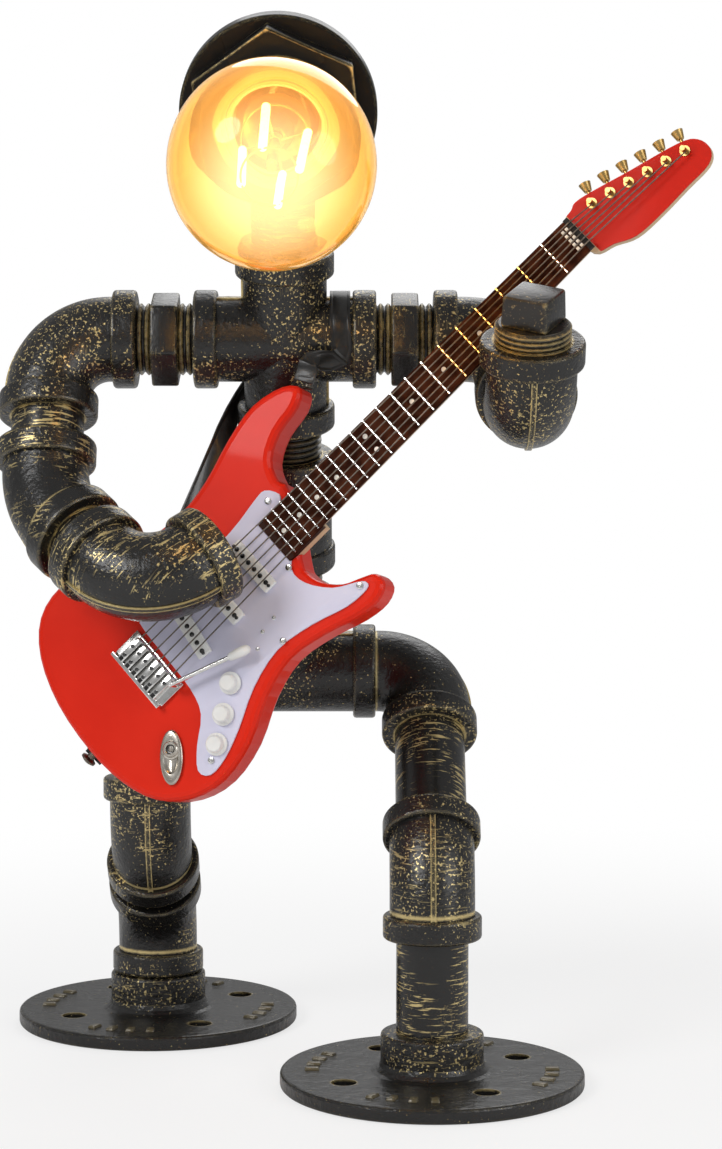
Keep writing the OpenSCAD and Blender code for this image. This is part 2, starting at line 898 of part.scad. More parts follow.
// Four LED filaments stand round the stem, each held by a wire at either end
module bulb_filaments() {
    filament_r = 0.9;
    wire_r = 0.3;
    ring_r = 8;
    foot = globe_mid - filament_len / 2 - 2;
    color("#fff1c0")
        multmatrix(hat)
            for (k = [0:3])
                rotate(45 + 90 * k) {
                    translate([ring_r, 0, foot])
                        cylinder(r = filament_r, h = filament_len);
                    for (h = [1, filament_len / 2 + 3])
                        translate([stem_r + fit_clear, 0, foot + h])
                            rotate([0, 90, 0])
                                cylinder(r = wire_r, h = ring_r - stem_r - fit_clear);
                }
}

// Lead inside the pipes, from the rear foot to the lamp holder
lead_r = 3;

lead_lap = 0.5;

// A bend of the lead; the curve is a little slimmer than the straight stretches that lap into it
module lead_bend(r, reach_in, reach_out, angle, bend) {
    t = bend * tan(angle / 2);
    cylinder(r = r, h = reach_in - t + lead_lap);
    translate([bend, 0, reach_in - t])
        rotate([90, 0, 180])
            rotate_extrude(angle = angle)
                translate([bend, 0])
                    circle(r = r - 2 * fit_clear);
    multmatrix(bend_out(reach_in, t - lead_lap, angle))
        cylinder(r = r, h = reach_out - t + lead_lap);
}

// A straight stretch that laps into the bends at both ends
module lead_straight(length) {
    translate([0, 0, -lead_lap])
        cylinder(r = lead_r - fit_clear, h = length + 2 * lead_lap);
}

module riser_lead() {
    foot_z = 1;
    color("#3a3a3a") {
        translate([rear_foot.x, rear_foot.y, foot_z + lead_lap])
            lead_straight(collar_h + seat_gap - foot_z - lead_lap);
        multmatrix(rear_lower_in)
            lead_bend(lead_r, bend_reach, bend_reach, 45, bend_bend);
        multmatrix(rear_close_in)
            lead_straight(rear_gap);
        multmatrix(rear_upper_in)
            lead_bend(lead_r, bend_reach, bend_reach, 45, bend_bend);
        multmatrix(rear_thigh_in)
            lead_straight(rear_thigh_gap);
        multmatrix(rear_hip_in)
            lead_bend(lead_r, street_reach, elbow_reach, 90, street_bend);
        multmatrix(torso * turn_y(-90) * along(tee_reach + lead_lap) * turn_y(180) * turn_z(180))
            lead_bend(lead_r - fit_clear, tee_reach + lead_lap, tee_reach + torso_len, 90, elbow_bend);
    }
}

module head_lead() {
    up = neck_gap + elbow_reach - seat_gap;
    out = elbow_reach + head_gap + socket_back + floor_t - seat_gap;
    color("#3a3a3a")
        multmatrix(neck_in * along(seat_gap) * turn_z(-90))
            lead_bend(lead_r, up, out, 90, elbow_bend);
}

// Guitar
function ring_at(p, z) = [for (q = p) [q.x, q.y, z]];

module guitar_body() {
    outline = spline(body_points, 3);
    face = ears(inset(outline, guitar_round), [for (i = [0:len(outline) - 1]) i]);
    low = [for (k = [0:3]) let (t = 30 * k) [guitar_round * (1 - sin(t)), guitar_round * (1 - cos(t))]];
    high = [for (k = [3:-1:0]) [low[k].x, guitar_t - low[k].y]];
    color(red_lacquer)
        multmatrix(guitar)
            difference() {
                loft([for (s = concat(low, high)) ring_at(inset(outline, s.x), s.y - guitar_t)], face);
                translate([heel_x, -board_w_end / 2, -neck_depth] - pocket_clear * [1, 1, 1])
                    cube([board_len, board_w_end + 2 * pocket_clear, guitar_t]);
            }
}

// Half-round section of the neck at x, from its left edge under to its right edge
function neck_ring(x, w, deep) = [
    for (k = [0:8]) let (t = 180 + 22.5 * k) [x, w / 2 * cos(t), board_lift + deep * sin(t)]
];

module guitar_neck() {
    deep_nut = 4.4;
    deep_end = board_lift + neck_depth;
    heel_len = 14;
    head_top = board_lift - head_drop;
    sink = 0.3;
    color(maple)
        multmatrix(guitar) {
            loft([
                neck_ring(heel_x + heel_len / 2, board_w_end - sink, deep_end - sink),
                neck_ring(-60, (board_w_end + board_w_nut) / 2, (deep_end + deep_nut) / 2),
                neck_ring(-4, board_w_nut, deep_nut),
                neck_ring(1.5, board_w_nut, deep_nut - 0.4)
            ]);
            translate([heel_x, -board_w_end / 2, -neck_depth])
                cube([heel_len, board_w_end, neck_depth + board_lift]);
            translate([0, 0, head_top - headstock_t])
                linear_extrude(headstock_t)
                    polygon(spline(headstock_points, 4));
        }
}

module fretboard() {
    a = board_w_nut / 2;
    b = board_w_end / 2;
    color(rosewood)
        multmatrix(guitar)
            translate([0, 0, board_lift])
                linear_extrude(board_t)
                    polygon([[-0.8, -a], [-0.8, a], [-board_len, b], [-board_len, -b]]);
}

module frets() {
    fret_w = 0.7;
    fret_h = 0.45;
    color(nickel)
        multmatrix(guitar)
            for (k = [1:fret_count]) {
                x = -scale_len * (1 - 2 ^ (-k / 12));
                w = board_w_nut + (board_w_end - board_w_nut) * -x / board_len;
                translate([x, w / 2, board_top])
                    rotate([90, 0, 0])
                        linear_extrude(w)
                            polygon([
                                [-fret_w / 2, 0], [fret_w / 2, 0], [fret_w / 4, fret_h], [-fret_w / 4, fret_h]
                            ]);
            }
}

module nut() {
    color("#1c1a19")
        multmatrix(guitar)
            translate([-0.8, -board_w_nut / 2, board_lift])
                cube([1.6, board_w_nut, nut_top - board_lift]);
}

module tuning_pegs() {
    back = board_lift - head_drop - headstock_t;
    case_h = 2;
    color(gold)
        multmatrix(guitar)
            translate([peg_first.x, peg_first.y, 0])
                rotate(peg_slant)
                    for (k = [0:5])
                        translate([peg_step * k, 0, 0]) {
                            translate([0, 0, board_lift - head_drop])
                                cylinder(d = 3, h = 0.5);
                            translate([0, 0, board_lift - head_drop])
                                cylinder(d = 1.5, h = 3.6);
                            translate([-1.6, -2, back - case_h])
                                cube([3.2, 4.4, case_h]);
                            translate([0, 2.4, back - case_h / 2])
                                rotate([-90, 0, 0])
                                    cylinder(d = 1.1, h = 2.6);
                            translate([0, 5, back - case_h / 2])
                                rotate([-90, 0, 0])
                                    cylinder(d1 = 2.2, d2 = 3.6, h = 2.6);
                        }
}

module pickguard() {
    color(ivory_plate)
        multmatrix(guitar)
            linear_extrude(guard_t)
                difference() {
                    polygon(spline(guard_points, 3));
                    translate([heel_x - pocket_clear, -board_w_end / 2 - pocket_clear])
                        square([board_len, board_w_end + 2 * pocket_clear]);
                    translate([bridge_x - bridge_back - bridge_l - seat_gap, -bridge_w / 2 - seat_gap])
                        square([bridge_l + 2 * seat_gap, bridge_w + 2 * seat_gap]);
                }
}

module pickups() {
    pick_l = 17.6;
    pick_w = 4.6;
    pick_h = 1.5;
    color(white_plastic)
        multmatrix(guitar)
            for (p = pickup_places)
                translate([p.x, p.y, guard_t])
                    rotate(p.z)
                        linear_extrude(pick_h) {
                            square([pick_w, pick_l - pick_w], center = true);
                            for (s = [-1, 1])
                                translate([0, s * (pick_l - pick_w) / 2])
                                    circle(d = pick_w);
                        }
}

bridge_plate_t = 1.2;
saddle_pitch = 3;

module bridge() {
    plate_l = bridge_l;
    saddle_l = 8.4;
    saddle_w = 2.2;
    lip_t = 1.2;
    color(nickel)
        multmatrix(guitar)
            translate([bridge_x - bridge_back, 0, 0]) {
                translate([-plate_l, -bridge_w / 2, 0])
                    cube([plate_l, bridge_w, bridge_plate_t]);
                translate([-plate_l, -bridge_w / 2, 0])
                    cube([lip_t, bridge_w, 3.2]);
                for (k = [0:5])
                    translate([-plate_l + lip_t, (k - 2.5) * saddle_pitch - saddle_w / 2, 0])
                        cube([saddle_l, saddle_w, saddle_top - string_d]);
            }
}

// Bent rod of the tremolo arm: up out of the bridge, then along to its white tip
arm_pivot = [bridge_x - 2, -bridge_w / 2 + 1.2];
arm_top = saddle_top + 1.6;
arm_r = 0.7;
arm_len = 26;
arm_turn = -20;

module tremolo_arm() {
    tip_len = 5;
    tip_r = 1.1;
    foot = bridge_plate_t + seat_gap;
    color(nickel)
        multmatrix(guitar)
            translate([arm_pivot.x, arm_pivot.y, 0]) {
                translate([0, 0, foot])
                    cylinder(r = arm_r, h = arm_top - foot);
                translate([0, 0, arm_top])
                    sphere(r = arm_r);
                translate([0, 0, arm_top])
                    rotate(arm_turn)
                        rotate([0, 90, 0]) {
                            cylinder(r = arm_r, h = arm_len);
                            translate([0, 0, arm_len - tip_len])
                                cylinder(r = tip_r, h = tip_len);
                        }
            }
}

module knob(k) {
    r = knob_d / 2;
    color(white_plastic)
        multmatrix(guitar)
            translate([knob_places[k].x, knob_places[k].y, guard_t + seat_gap])
                rotate_extrude()
                    polygon([
                        [0, 0], [r, 0], [r, 0.6], [r * 0.8, 1.1],
                        [r * 0.7, knob_h - 0.3], [r * 0.6, knob_h], [0, knob_h]
                    ]);
}

module volume_knob() {
    knob(0);
}

module tone_knob_upper() {
    knob(1);
}

module tone_knob_lower() {
    knob(2);
}

module jack_plate() {
    half_l = 7.8;
    half_w = 3.4;
    arc_r = (half_l * half_l + half_w * half_w) / (2 * half_w);
    color(nickel)
        multmatrix(guitar)
            translate([jack_place.x, jack_place.y, 0])
                rotate(49)
                    difference() {
                        intersection() {
                            translate([0, half_w - arc_r, 0])
                                cylinder(r = arc_r, h = 1);
                            translate([0, arc_r - half_w, 0])
                                cylinder(r = arc_r, h = 1);
                        }
                        translate([-1, 0, 0.4])
                            cylinder(d = 3.4, h = 2);
                    }
}

module strings() {
    r = string_d / 2;
    bead = 1.25 * r;
    post_z = board_lift - head_drop + 2.4;
    color(nickel)
        multmatrix(guitar)
            for (k = [0:5]) {
                y = (k - 2.5);
                saddle = [bridge_x - 1, y * saddle_pitch, saddle_top - r + fit_clear];
                slot = [0, y * string_pitch, nut_top + bead + fit_clear];
                peg = [
                    peg_first.x + peg_step * (5 - k) * cos(peg_slant),
                    peg_first.y + peg_step * (5 - k) * sin(peg_slant) - 1.05,
                    post_z
                ];
                rod(saddle, slot, r);
                rod(slot, peg, r);
                translate(slot)
                    sphere(r = bead, $fn = 16);
            }
}

// A straight wire from a to b
module rod(a, b, r) {
    d = b - a;
    translate(a)
        rotate([0, acos(d.z / norm(d)), atan2(d.y, d.x)])
            cylinder(r = r, h = norm(d), $fn = 16);
}

// Strap buttons stand on the upper horn and on the tail
button_gap = 0.15;

module strap_button() {
    foot = [[0, 0], [1.6, 0], [1.2, 0.6], [1.2, 2.2]];
    head = [[2.4, 2.8], [2.4, 3.4], [1.4, 3.9], [0, 3.9]];
    translate([0, 0, button_gap])
        rotate_extrude()
            polygon(concat(foot, head));
}

module strap_buttons() {
    color(nickel)
        multmatrix(guitar) {
            translate([upper_button.x, upper_button.y, body_mid_z])
                rotate([0, 90, 35])
                    strap_button();
            translate([tail_button.x, tail_button.y, body_mid_z])
                rotate([0, -90, 0])
                    strap_button();
        }
}

// The strap's route: frame, point and outward face of each station, from the upper horn over
// the left shoulder, across the back and down behind the guitar to the tail
strap_ring = body_r + seam_h + 2 * seat_gap + strap_t / 2;
strap_x = (body_r + tee_reach - band_len) / 2;
strap_route = concat(
    [
        [guitar, [-86.2, 29.8, -2.6], [0, 0, 1]],
        [guitar, [-83.3, 31.5, -3], [0, 0, 1]],
        [guitar, [-80.5, 33, -3.4], [0, 0, 1]]
    ],
    [
        for (t = [185, 140, 90, 40, 0])
            let (out = [0, cos(t), sin(t)])
                [cross_mid, [strap_x, 0, 0] + strap_ring * out, out]
    ],
    [
        [cross_mid, [8, strap_ring + seat_gap, -6.5], [0, 1, 0]],
        [cross_mid, [0, strap_ring + seat_gap, -11], [0, 1, 0]],
        [cross_mid, [-8.5, strap_ring - 1.5, -16], [-0.5, 1, 0]],
        [cross_mid, [-14.5, 8, -21.5], [-1, 0.6, 0]],
        [guitar, [-122.5, 42, -22.4], [-0.2, 0.3, -1]],
        [guitar, [-141.5, 32.4, -18.6], [0, 0, -1]],
        [guitar, [-162, 22.5, -15.8], [0, 0, -1]],
        [guitar, [-180.5, 11.5, -15], [0, 0, -1]],
        [guitar, [-197, 3.5, -14], [-0.2, 0, -1]],
        [guitar, [-207.6, -2, -11.8], [-0.7, 0, -0.7]],
        [guitar, [-208.8, -3.8, -8.2], [-1, 0, 0]]
    ]
);

module strap() {
    mid = run([for (s = strap_route) place(s[0], s[1])], 3);
    out = run([for (s = strap_route) place(s[0], s[1] + unit(s[2])) - place(s[0], s[1])], 3);
    last = len(mid) - 1;
    color("#1b1a19")
        loft([
            for (i = [0:last])
                let (way = unit(mid[min(i + 1, last)] - mid[max(i - 1, 0)]))
                let (side = unit(cross(way, out[i])) * strap_w / 2, up = unit(cross(side, way)) * strap_t / 2)
                    [mid[i] - side - up, mid[i] - side + up, mid[i] + side + up, mid[i] + side - up]
        ]);
}

front_foot_flange();
rear_foot_flange();
front_shin_nipple();
front_knee_elbow();
front_thigh_nipple();
front_hip_elbow();
hip_tee();
rear_hip_elbow();
rear_thigh_nipple();
rear_upper_elbow();
rear_close_nipple();
rear_lower_elbow();
rear_ankle_nipple();
waist_nipple();
torso_coupling();
chest_nipple();
shoulder_cross();
right_shoulder_nipple();
right_shoulder_elbow();
right_upper_arm_nipple();
right_arm_elbow();
right_forearm_nipple();
right_hand_elbow();
left_shoulder_nipple();
left_shoulder_elbow();
left_forearm_nipple();
left_hand_elbow();
left_hand_plug();
neck_nipple();
head_elbow();
head_nipple();
hat_reducer();
hat_hex_bushing();
lamp_socket();
socket_shell();
socket_contact();
bulb_cap();
bulb_glass();
bulb_stem();
bulb_filaments();
riser_lead();
head_lead();
guitar_body();
guitar_neck();
fretboard();
frets();
nut();
tuning_pegs();
pickguard();
pickups();
bridge();
tremolo_arm();
volume_knob();
tone_knob_upper();
tone_knob_lower();
jack_plate();
strings();
strap_buttons();
strap();
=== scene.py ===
# %% [markdown]
# # A lamp made of pipe fittings
# The real lamp is a little player built from black threaded pipe fittings, with an amber globe
# bulb for a face and a red toy-sized guitar on a strap. The solids come packed from CAD. This
# lesson dresses them: camera and light first, then the finishes, then the small pieces that are
# modelled here. The frame is in metres. Pieces made here are sized in millimetres, times
# MM, in the same frame as the solids.

# %% Load the imported solids
import math

import bmesh
import bpy
from mathutils import Matrix, Vector


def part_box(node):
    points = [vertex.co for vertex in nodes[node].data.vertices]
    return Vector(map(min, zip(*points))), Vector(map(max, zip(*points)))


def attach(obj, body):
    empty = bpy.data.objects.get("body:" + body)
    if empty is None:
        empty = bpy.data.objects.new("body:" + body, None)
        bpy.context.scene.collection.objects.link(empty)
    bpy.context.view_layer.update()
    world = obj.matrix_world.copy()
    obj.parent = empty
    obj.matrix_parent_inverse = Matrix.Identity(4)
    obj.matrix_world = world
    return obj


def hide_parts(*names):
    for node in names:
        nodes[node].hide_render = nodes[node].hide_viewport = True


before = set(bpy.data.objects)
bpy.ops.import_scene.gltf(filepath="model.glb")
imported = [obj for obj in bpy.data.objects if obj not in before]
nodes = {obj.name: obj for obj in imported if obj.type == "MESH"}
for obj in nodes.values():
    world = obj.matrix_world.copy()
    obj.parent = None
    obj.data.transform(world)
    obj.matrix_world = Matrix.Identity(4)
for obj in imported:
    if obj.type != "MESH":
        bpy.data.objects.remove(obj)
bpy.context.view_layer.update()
scene = bpy.context.scene
scene.view_settings.view_transform = "Standard"

# %% [markdown]
# ## Camera
# The photograph was taken from about chest height of the figure with a long lens: the foot discs
# look like flat ellipses and the near foot is only a little larger than the far one. A long lens
# from 0.85 m in front of the hips, tipped down by four degrees, gives the same picture.

# %% Camera at the photograph's place
PHOTO_HEIGHT = 1149  # pixels
FOCAL = 2730  # pixels
SENSOR = 36.0  # millimetres
EYE = (-0.021, -0.794, 0.208)
TILT = 85.9  # degrees, where 90 is level
bpy.ops.object.camera_add(location=EYE, rotation=(math.radians(TILT), 0, 0))
camera = bpy.context.object
camera.name = "photo_camera"
camera.data.sensor_fit = "VERTICAL"
camera.data.sensor_height = SENSOR
camera.data.lens = SENSOR * FOCAL / PHOTO_HEIGHT
scene.camera = camera
print("lens:", round(camera.data.lens, 1), "mm")

# %% [markdown]
# ## Floor, backdrop and light
# The picture is a catalogue cut-out on white. The floor is a wide pale disc that still takes the
# lamp's shadow. What the camera sees of the world is plain white, while the light that the world
# sheds is kept moderate, so black paint stays black. Two large soft lamps in front and one behind
# draw the long highlights on the pipes.

# %% Small helpers for node trees
def add(tree, kind, inputs=None, **settings):
    """Adds a node, sets its options, and fills its inputs with values or links."""
    node = tree.nodes.new(kind)
    for key, value in settings.items():
        setattr(node, key, value)
    for key, value in (inputs or {}).items():
        if isinstance(value, bpy.types.NodeSocket):
            tree.links.new(value, node.inputs[key])
        else:
            node.inputs[key].default_value = value
    return node


def calc(tree, operation, a, b):
    """One arithmetic step."""
    return add(tree, "ShaderNodeMath", {0: a, 1: b}, operation=operation).outputs[0]


def vector_calc(tree, operation, a, b):
    """One step on vectors."""
    return add(tree, "ShaderNodeVectorMath", {0: a, 1: b}, operation=operation)


def ramp(tree, value, low, high, first=0.0, last=1.0, way="SMOOTHSTEP"):
    """From first, where the value is low, to last, where it is high."""
    ends = {"From Min": low, "From Max": high, "To Min": first, "To Max": last}
    return add(tree, "ShaderNodeMapRange", {"Value": value, **ends},
               interpolation_type=way).outputs["Result"]


def mix_colors(tree, factor, a, b):
    """Colour a where the factor is 0, colour b where it is 1."""
    return add(tree, "ShaderNodeMix", {"Factor": factor, "A": a, "B": b},
               data_type="RGBA").outputs["Result"]


def mix_shaders(tree, factor, a, b):
    """Shader a where the factor is 0, shader b where it is 1."""
    return add(tree, "ShaderNodeMixShader", {0: factor, 1: a, 2: b}).outputs[0]


def object_place(tree):
    """Object coordinates, which are the frame's own metres."""
    return add(tree, "ShaderNodeTexCoord").outputs["Object"]


def seen_directly(tree):
    """1 for rays that end in the picture: straight, or through glass."""
    path = add(tree, "ShaderNodeLightPath").outputs
    return calc(tree, "MAXIMUM", path["Is Camera Ray"], path["Is Transmission Ray"])


def fresh_material(name):
    """A new material, its node tree, and the surface socket of its only node."""
    material = bpy.data.materials.new(name)
    material.use_nodes = True
    tree = material.node_tree
    tree.nodes.clear()
    return material, tree, tree.nodes.new("ShaderNodeOutputMaterial").inputs["Surface"]


print("helpers for node trees are ready")

# %% White world
WHITE = (1, 1, 1, 1)
WORLD_LIGHT = 0.36
world = bpy.data.worlds.new("studio")
scene.world = world
world.use_nodes = True
tree = world.node_tree
tree.nodes.clear()
shed = add(tree, "ShaderNodeBackground", {"Color": WHITE, "Strength": WORLD_LIGHT}).outputs[0]
white = add(tree, "ShaderNodeBackground", {"Color": WHITE, "Strength": 1.0}).outputs[0]
backdrop = mix_shaders(tree, seen_directly(tree), shed, white)
add(tree, "ShaderNodeOutputWorld", {"Surface": backdrop})
print("world sheds", WORLD_LIGHT)

# %% Pale floor, which fades into the white away from the feet
FLOOR_RADIUS = 4.0
FLOOR_DROP = 0.0002
FADE_FROM, FADE_TO = 0.15, 0.5
LEAST_WHITE = 0.72
bpy.ops.object.select_all(action="DESELECT")
bpy.ops.mesh.primitive_circle_add(vertices=96, radius=FLOOR_RADIUS, fill_type="NGON",
                                  location=(0, 0, -FLOOR_DROP))
floor = bpy.context.object
floor.name = "studio_floor"
bpy.ops.object.transform_apply(location=True)
paper, tree, surface = fresh_material("floor_paper")
speck = add(tree, "ShaderNodeTexNoise", {"Scale": 40.0, "Detail": 2.0}).outputs["Fac"]
tint = mix_colors(tree, speck, (0.9, 0.9, 0.9, 1), (0.94, 0.94, 0.94, 1))
matt = add(tree, "ShaderNodeBsdfDiffuse", {"Color": tint}).outputs[0]
lift = add(tree, "ShaderNodeEmission", {"Color": WHITE, "Strength": 1.0}).outputs[0]
reach = add(tree, "ShaderNodeVectorMath", {0: object_place(tree)}, operation="LENGTH")
fade = ramp(tree, reach.outputs["Value"], FADE_FROM, FADE_TO, LEAST_WHITE, 1.0)
share = calc(tree, "MULTIPLY", seen_directly(tree), fade)
tree.links.new(mix_shaders(tree, share, matt, lift), surface)
floor.data.materials.append(paper)
print("floor:", floor.name)

# %% Three soft lamps
LAMP_AIM = Vector((-0.03, 0.0, 0.17))
for name, place, size, watts in (
    ("key_left", (-0.75, -0.75, 0.75), 0.5, 6.0),
    ("fill_right", (0.85, -0.7, 0.45), 0.6, 3.2),
    ("rim_behind", (0.1, 0.9, 0.9), 0.8, 3.0),
):
    bpy.ops.object.light_add(type="AREA", location=place)
    lamp = bpy.context.object
    lamp.name = name
    lamp.data.shape = "DISK"
    lamp.data.size = size
    lamp.data.energy = watts
    lamp.rotation_euler = (LAMP_AIM - Vector(place)).to_track_quat("-Z", "Y").to_euler()
    print(name, watts, "W")

# %% [markdown]
# ## The chain of seats
# Pipe fittings screw into each other, so the place of each one follows from the mouth of the one
# before it: a turn, a reach along the axis, and in an elbow a quarter turn on the way. The same
# chain is walked here. Its axes turn the brush strokes on the pipes, and its seats carry the pieces
# that are modelled later. Z runs out of each mouth.

# %% Moves and turns
MM = 0.001


def shift(x, y, z):
    """A move in millimetres."""
    return Matrix.Translation((x * MM, y * MM, z * MM))


def turn(axis, degrees):
    """A turn about one axis."""
    return Matrix.Rotation(math.radians(degrees), 4, axis)


def along(seat):
    """The way that a mouth points."""
    return seat.col[2].to_3d()


print("unit:", MM, "m")

# %% From the hips to the hat, the left hand and the guitar
LEAN = 18  # degrees that the torso leans forward
CROSS_REACH = 27  # from the middle of a tee or cross to its mouth
ELBOW_REACH = 25.5
TORSO_GAP, SHOULDER_GAP, FOREARM_GAP = 9, 17, 9  # thread or pipe that shows between two fittings
COUPLING = 36
NECK_RISE = 52  # from the middle of the cross to the head's elbow
HAT_GAP = 2.5
HIP = shift(-43.5, 54.094, 117)
WAIST = HIP @ turn("X", LEAN) @ shift(0, 0, CROSS_REACH)
CHEST = WAIST @ shift(0, 0, TORSO_GAP + COUPLING)
CROSS = CHEST @ shift(0, 0, TORSO_GAP + CROSS_REACH)
RIGHT_SHOULDER = CROSS @ turn("Y", -90) @ shift(0, 0, CROSS_REACH)
LEFT_SHOULDER = CROSS @ turn("Y", 90) @ shift(0, 0, CROSS_REACH)
ELBOW = shift(0, 0, ELBOW_REACH) @ turn("Y", 90) @ shift(0, 0, ELBOW_REACH)
LEFT_ELBOW = LEFT_SHOULDER @ shift(0, 0, SHOULDER_GAP) @ turn("Z", -84) @ ELBOW
PLUG = LEFT_ELBOW @ shift(0, 0, FOREARM_GAP) @ turn("Z", -90) @ ELBOW
HAT = CROSS @ shift(0, 0, NECK_RISE) @ turn("Z", -90) @ ELBOW @ shift(0, 0, HAT_GAP)
GUITAR = shift(40.5, -24.906, 248) @ turn("Z", -20) @ turn("X", 80) @ turn("Z", 45.8)
REAR_FOOT = shift(-87, 83.792, 0)
for name, seat in (("plug", PLUG), ("hat", HAT), ("nut", GUITAR)):
    print(name, [round(x, 4) for x in seat.translation])

# %% [markdown]
# ## Black paint rubbed with brass
# Every fitting is painted black and then dry-brushed: a nearly dry brush of brass paint catches
# the edges of the bands, the casting seams and the high spots of the skin, in short strokes across
# the pipe. An edge can be found in the shader by looking from the surface into the piece: close to
# an outside edge the rays soon meet the other side. That mask, broken up by noise, is the rub on
# the edges. Strokes are noise that is squeezed along the pipe's axis. As many fittings share this,
# it is one node group, and each material only turns it to its own axis.

# %% An empty node group, and noise to fill it
def new_group(name, inputs, outputs):
    """A shader group with a Vector input, float inputs (name: value) and float outputs."""
    group = bpy.data.node_groups.new(name, "ShaderNodeTree")
    sockets = group.interface
    sockets.new_socket("Vector", in_out="INPUT", socket_type="NodeSocketVector")
    for key, value in inputs.items():
        socket = sockets.new_socket(key, in_out="INPUT", socket_type="NodeSocketFloat")
        socket.default_value = value
    for key in outputs:
        sockets.new_socket(key, in_out="OUTPUT", socket_type="NodeSocketFloat")
    ins, outs = group.nodes.new("NodeGroupInput"), group.nodes.new("NodeGroupOutput")
    return group, ins.outputs, outs.inputs


def noise(tree, place, scale, detail, roughness=0.5):
    """A cloudy value round 0.5."""
    return add(tree, "ShaderNodeTexNoise", {
        "Vector": place, "Scale": scale, "Detail": detail, "Roughness": roughness}).outputs["Fac"]


print("helpers for groups are ready")

# %% Node group: where the brass sits
EDGE_REACH = 0.0018  # how far the rays look into the piece
STROKE_SCALES = (150.0, 150.0, 1500.0)  # across the pipe twice, then along it
rub, ins, outs = new_group(
    "brass_rub", {"Edges": 1.0, "Patches": 1.0, "Strokes": 1.0, "Flecks": 1.0}, ("Rub", "Tone"))
inward = add(rub, "ShaderNodeAmbientOcclusion", {"Distance": EDGE_REACH},
             inside=True, only_local=True, samples=8)
convex = calc(rub, "SUBTRACT", 1.0, inward.outputs["AO"])
grit = calc(rub, "ADD", noise(rub, ins["Vector"], 620.0, 3.0, 0.65), 0.35)
worn = ramp(rub, calc(rub, "MULTIPLY", convex, grit), 0.17, 0.42)
edge = calc(rub, "MULTIPLY", worn, ins["Edges"])

area = noise(rub, ins["Vector"], 34.0, 2.5, 0.55)
spread = calc(rub, "MULTIPLY", calc(rub, "SUBTRACT", ins["Patches"], 1.0), 0.1)
brushed = ramp(rub, calc(rub, "ADD", area, spread), 0.38, 0.60)
patch = calc(rub, "MULTIPLY", brushed, calc(rub, "MINIMUM", ins["Patches"], 1.0))

squeezed = vector_calc(rub, "MULTIPLY", ins["Vector"], STROKE_SCALES).outputs[0]
stroke = ramp(rub, noise(rub, squeezed, 1.0, 3.0, 0.6), 0.53, 0.66)
strokes = calc(rub, "MULTIPLY", stroke, ins["Strokes"])
fleck = noise(rub, ins["Vector"], 1150.0, 2.0, 0.6)
flecks = calc(rub, "MULTIPLY", ramp(rub, fleck, 0.56, 0.68), ins["Flecks"])
in_patch = calc(rub, "MULTIPLY", patch, calc(rub, "MAXIMUM", strokes, flecks))
stray = calc(rub, "MULTIPLY", ramp(rub, fleck, 0.66, 0.74),
             calc(rub, "MULTIPLY", ins["Flecks"], 0.55))

total = calc(rub, "MAXIMUM", edge, calc(rub, "MAXIMUM", in_patch, stray))
rub.links.new(ramp(rub, total, 0.16, 0.72), outs["Rub"])
rub.links.new(area, outs["Tone"])
print("group:", rub.name, len(rub.nodes), "nodes")

# %% Node group: skin of a sand casting
SAND_SCALE = 700.0
grain, ins, outs = new_group("cast_grain", {"Scale": SAND_SCALE}, ("Height",))
sand = noise(grain, ins["Vector"], ins["Scale"], 4.0, 0.6)
dents = calc(grain, "MULTIPLY", noise(grain, ins["Vector"], 160.0, 2.0), 1.4)
grain.links.new(calc(grain, "ADD", sand, dents), outs["Height"])
print("group:", grain.name, len(grain.nodes), "nodes")

# %% [markdown]
# ## Finishes of the iron
# Castings are grainy and get more flecks, drawn pipe is smooth and shows the brush strokes. Each
# material turns the rub so that its strokes run across the pipe it is on. The feet are only rubbed
# on the collar round the pipe, and the hat is nearly plain black. Solids that a finer piece
# replaces further down get no finish here.

# %% Iron materials
BLACK, WARM_BLACK = (0.005, 0.005, 0.005, 1), (0.014, 0.013, 0.012, 1)
BRASS = (0.68, 0.54, 0.25, 1)
BRASS_METAL = 0.55
COLLAR_PATCHES = 1.6
GRAIN_DEPTH = 0.00035


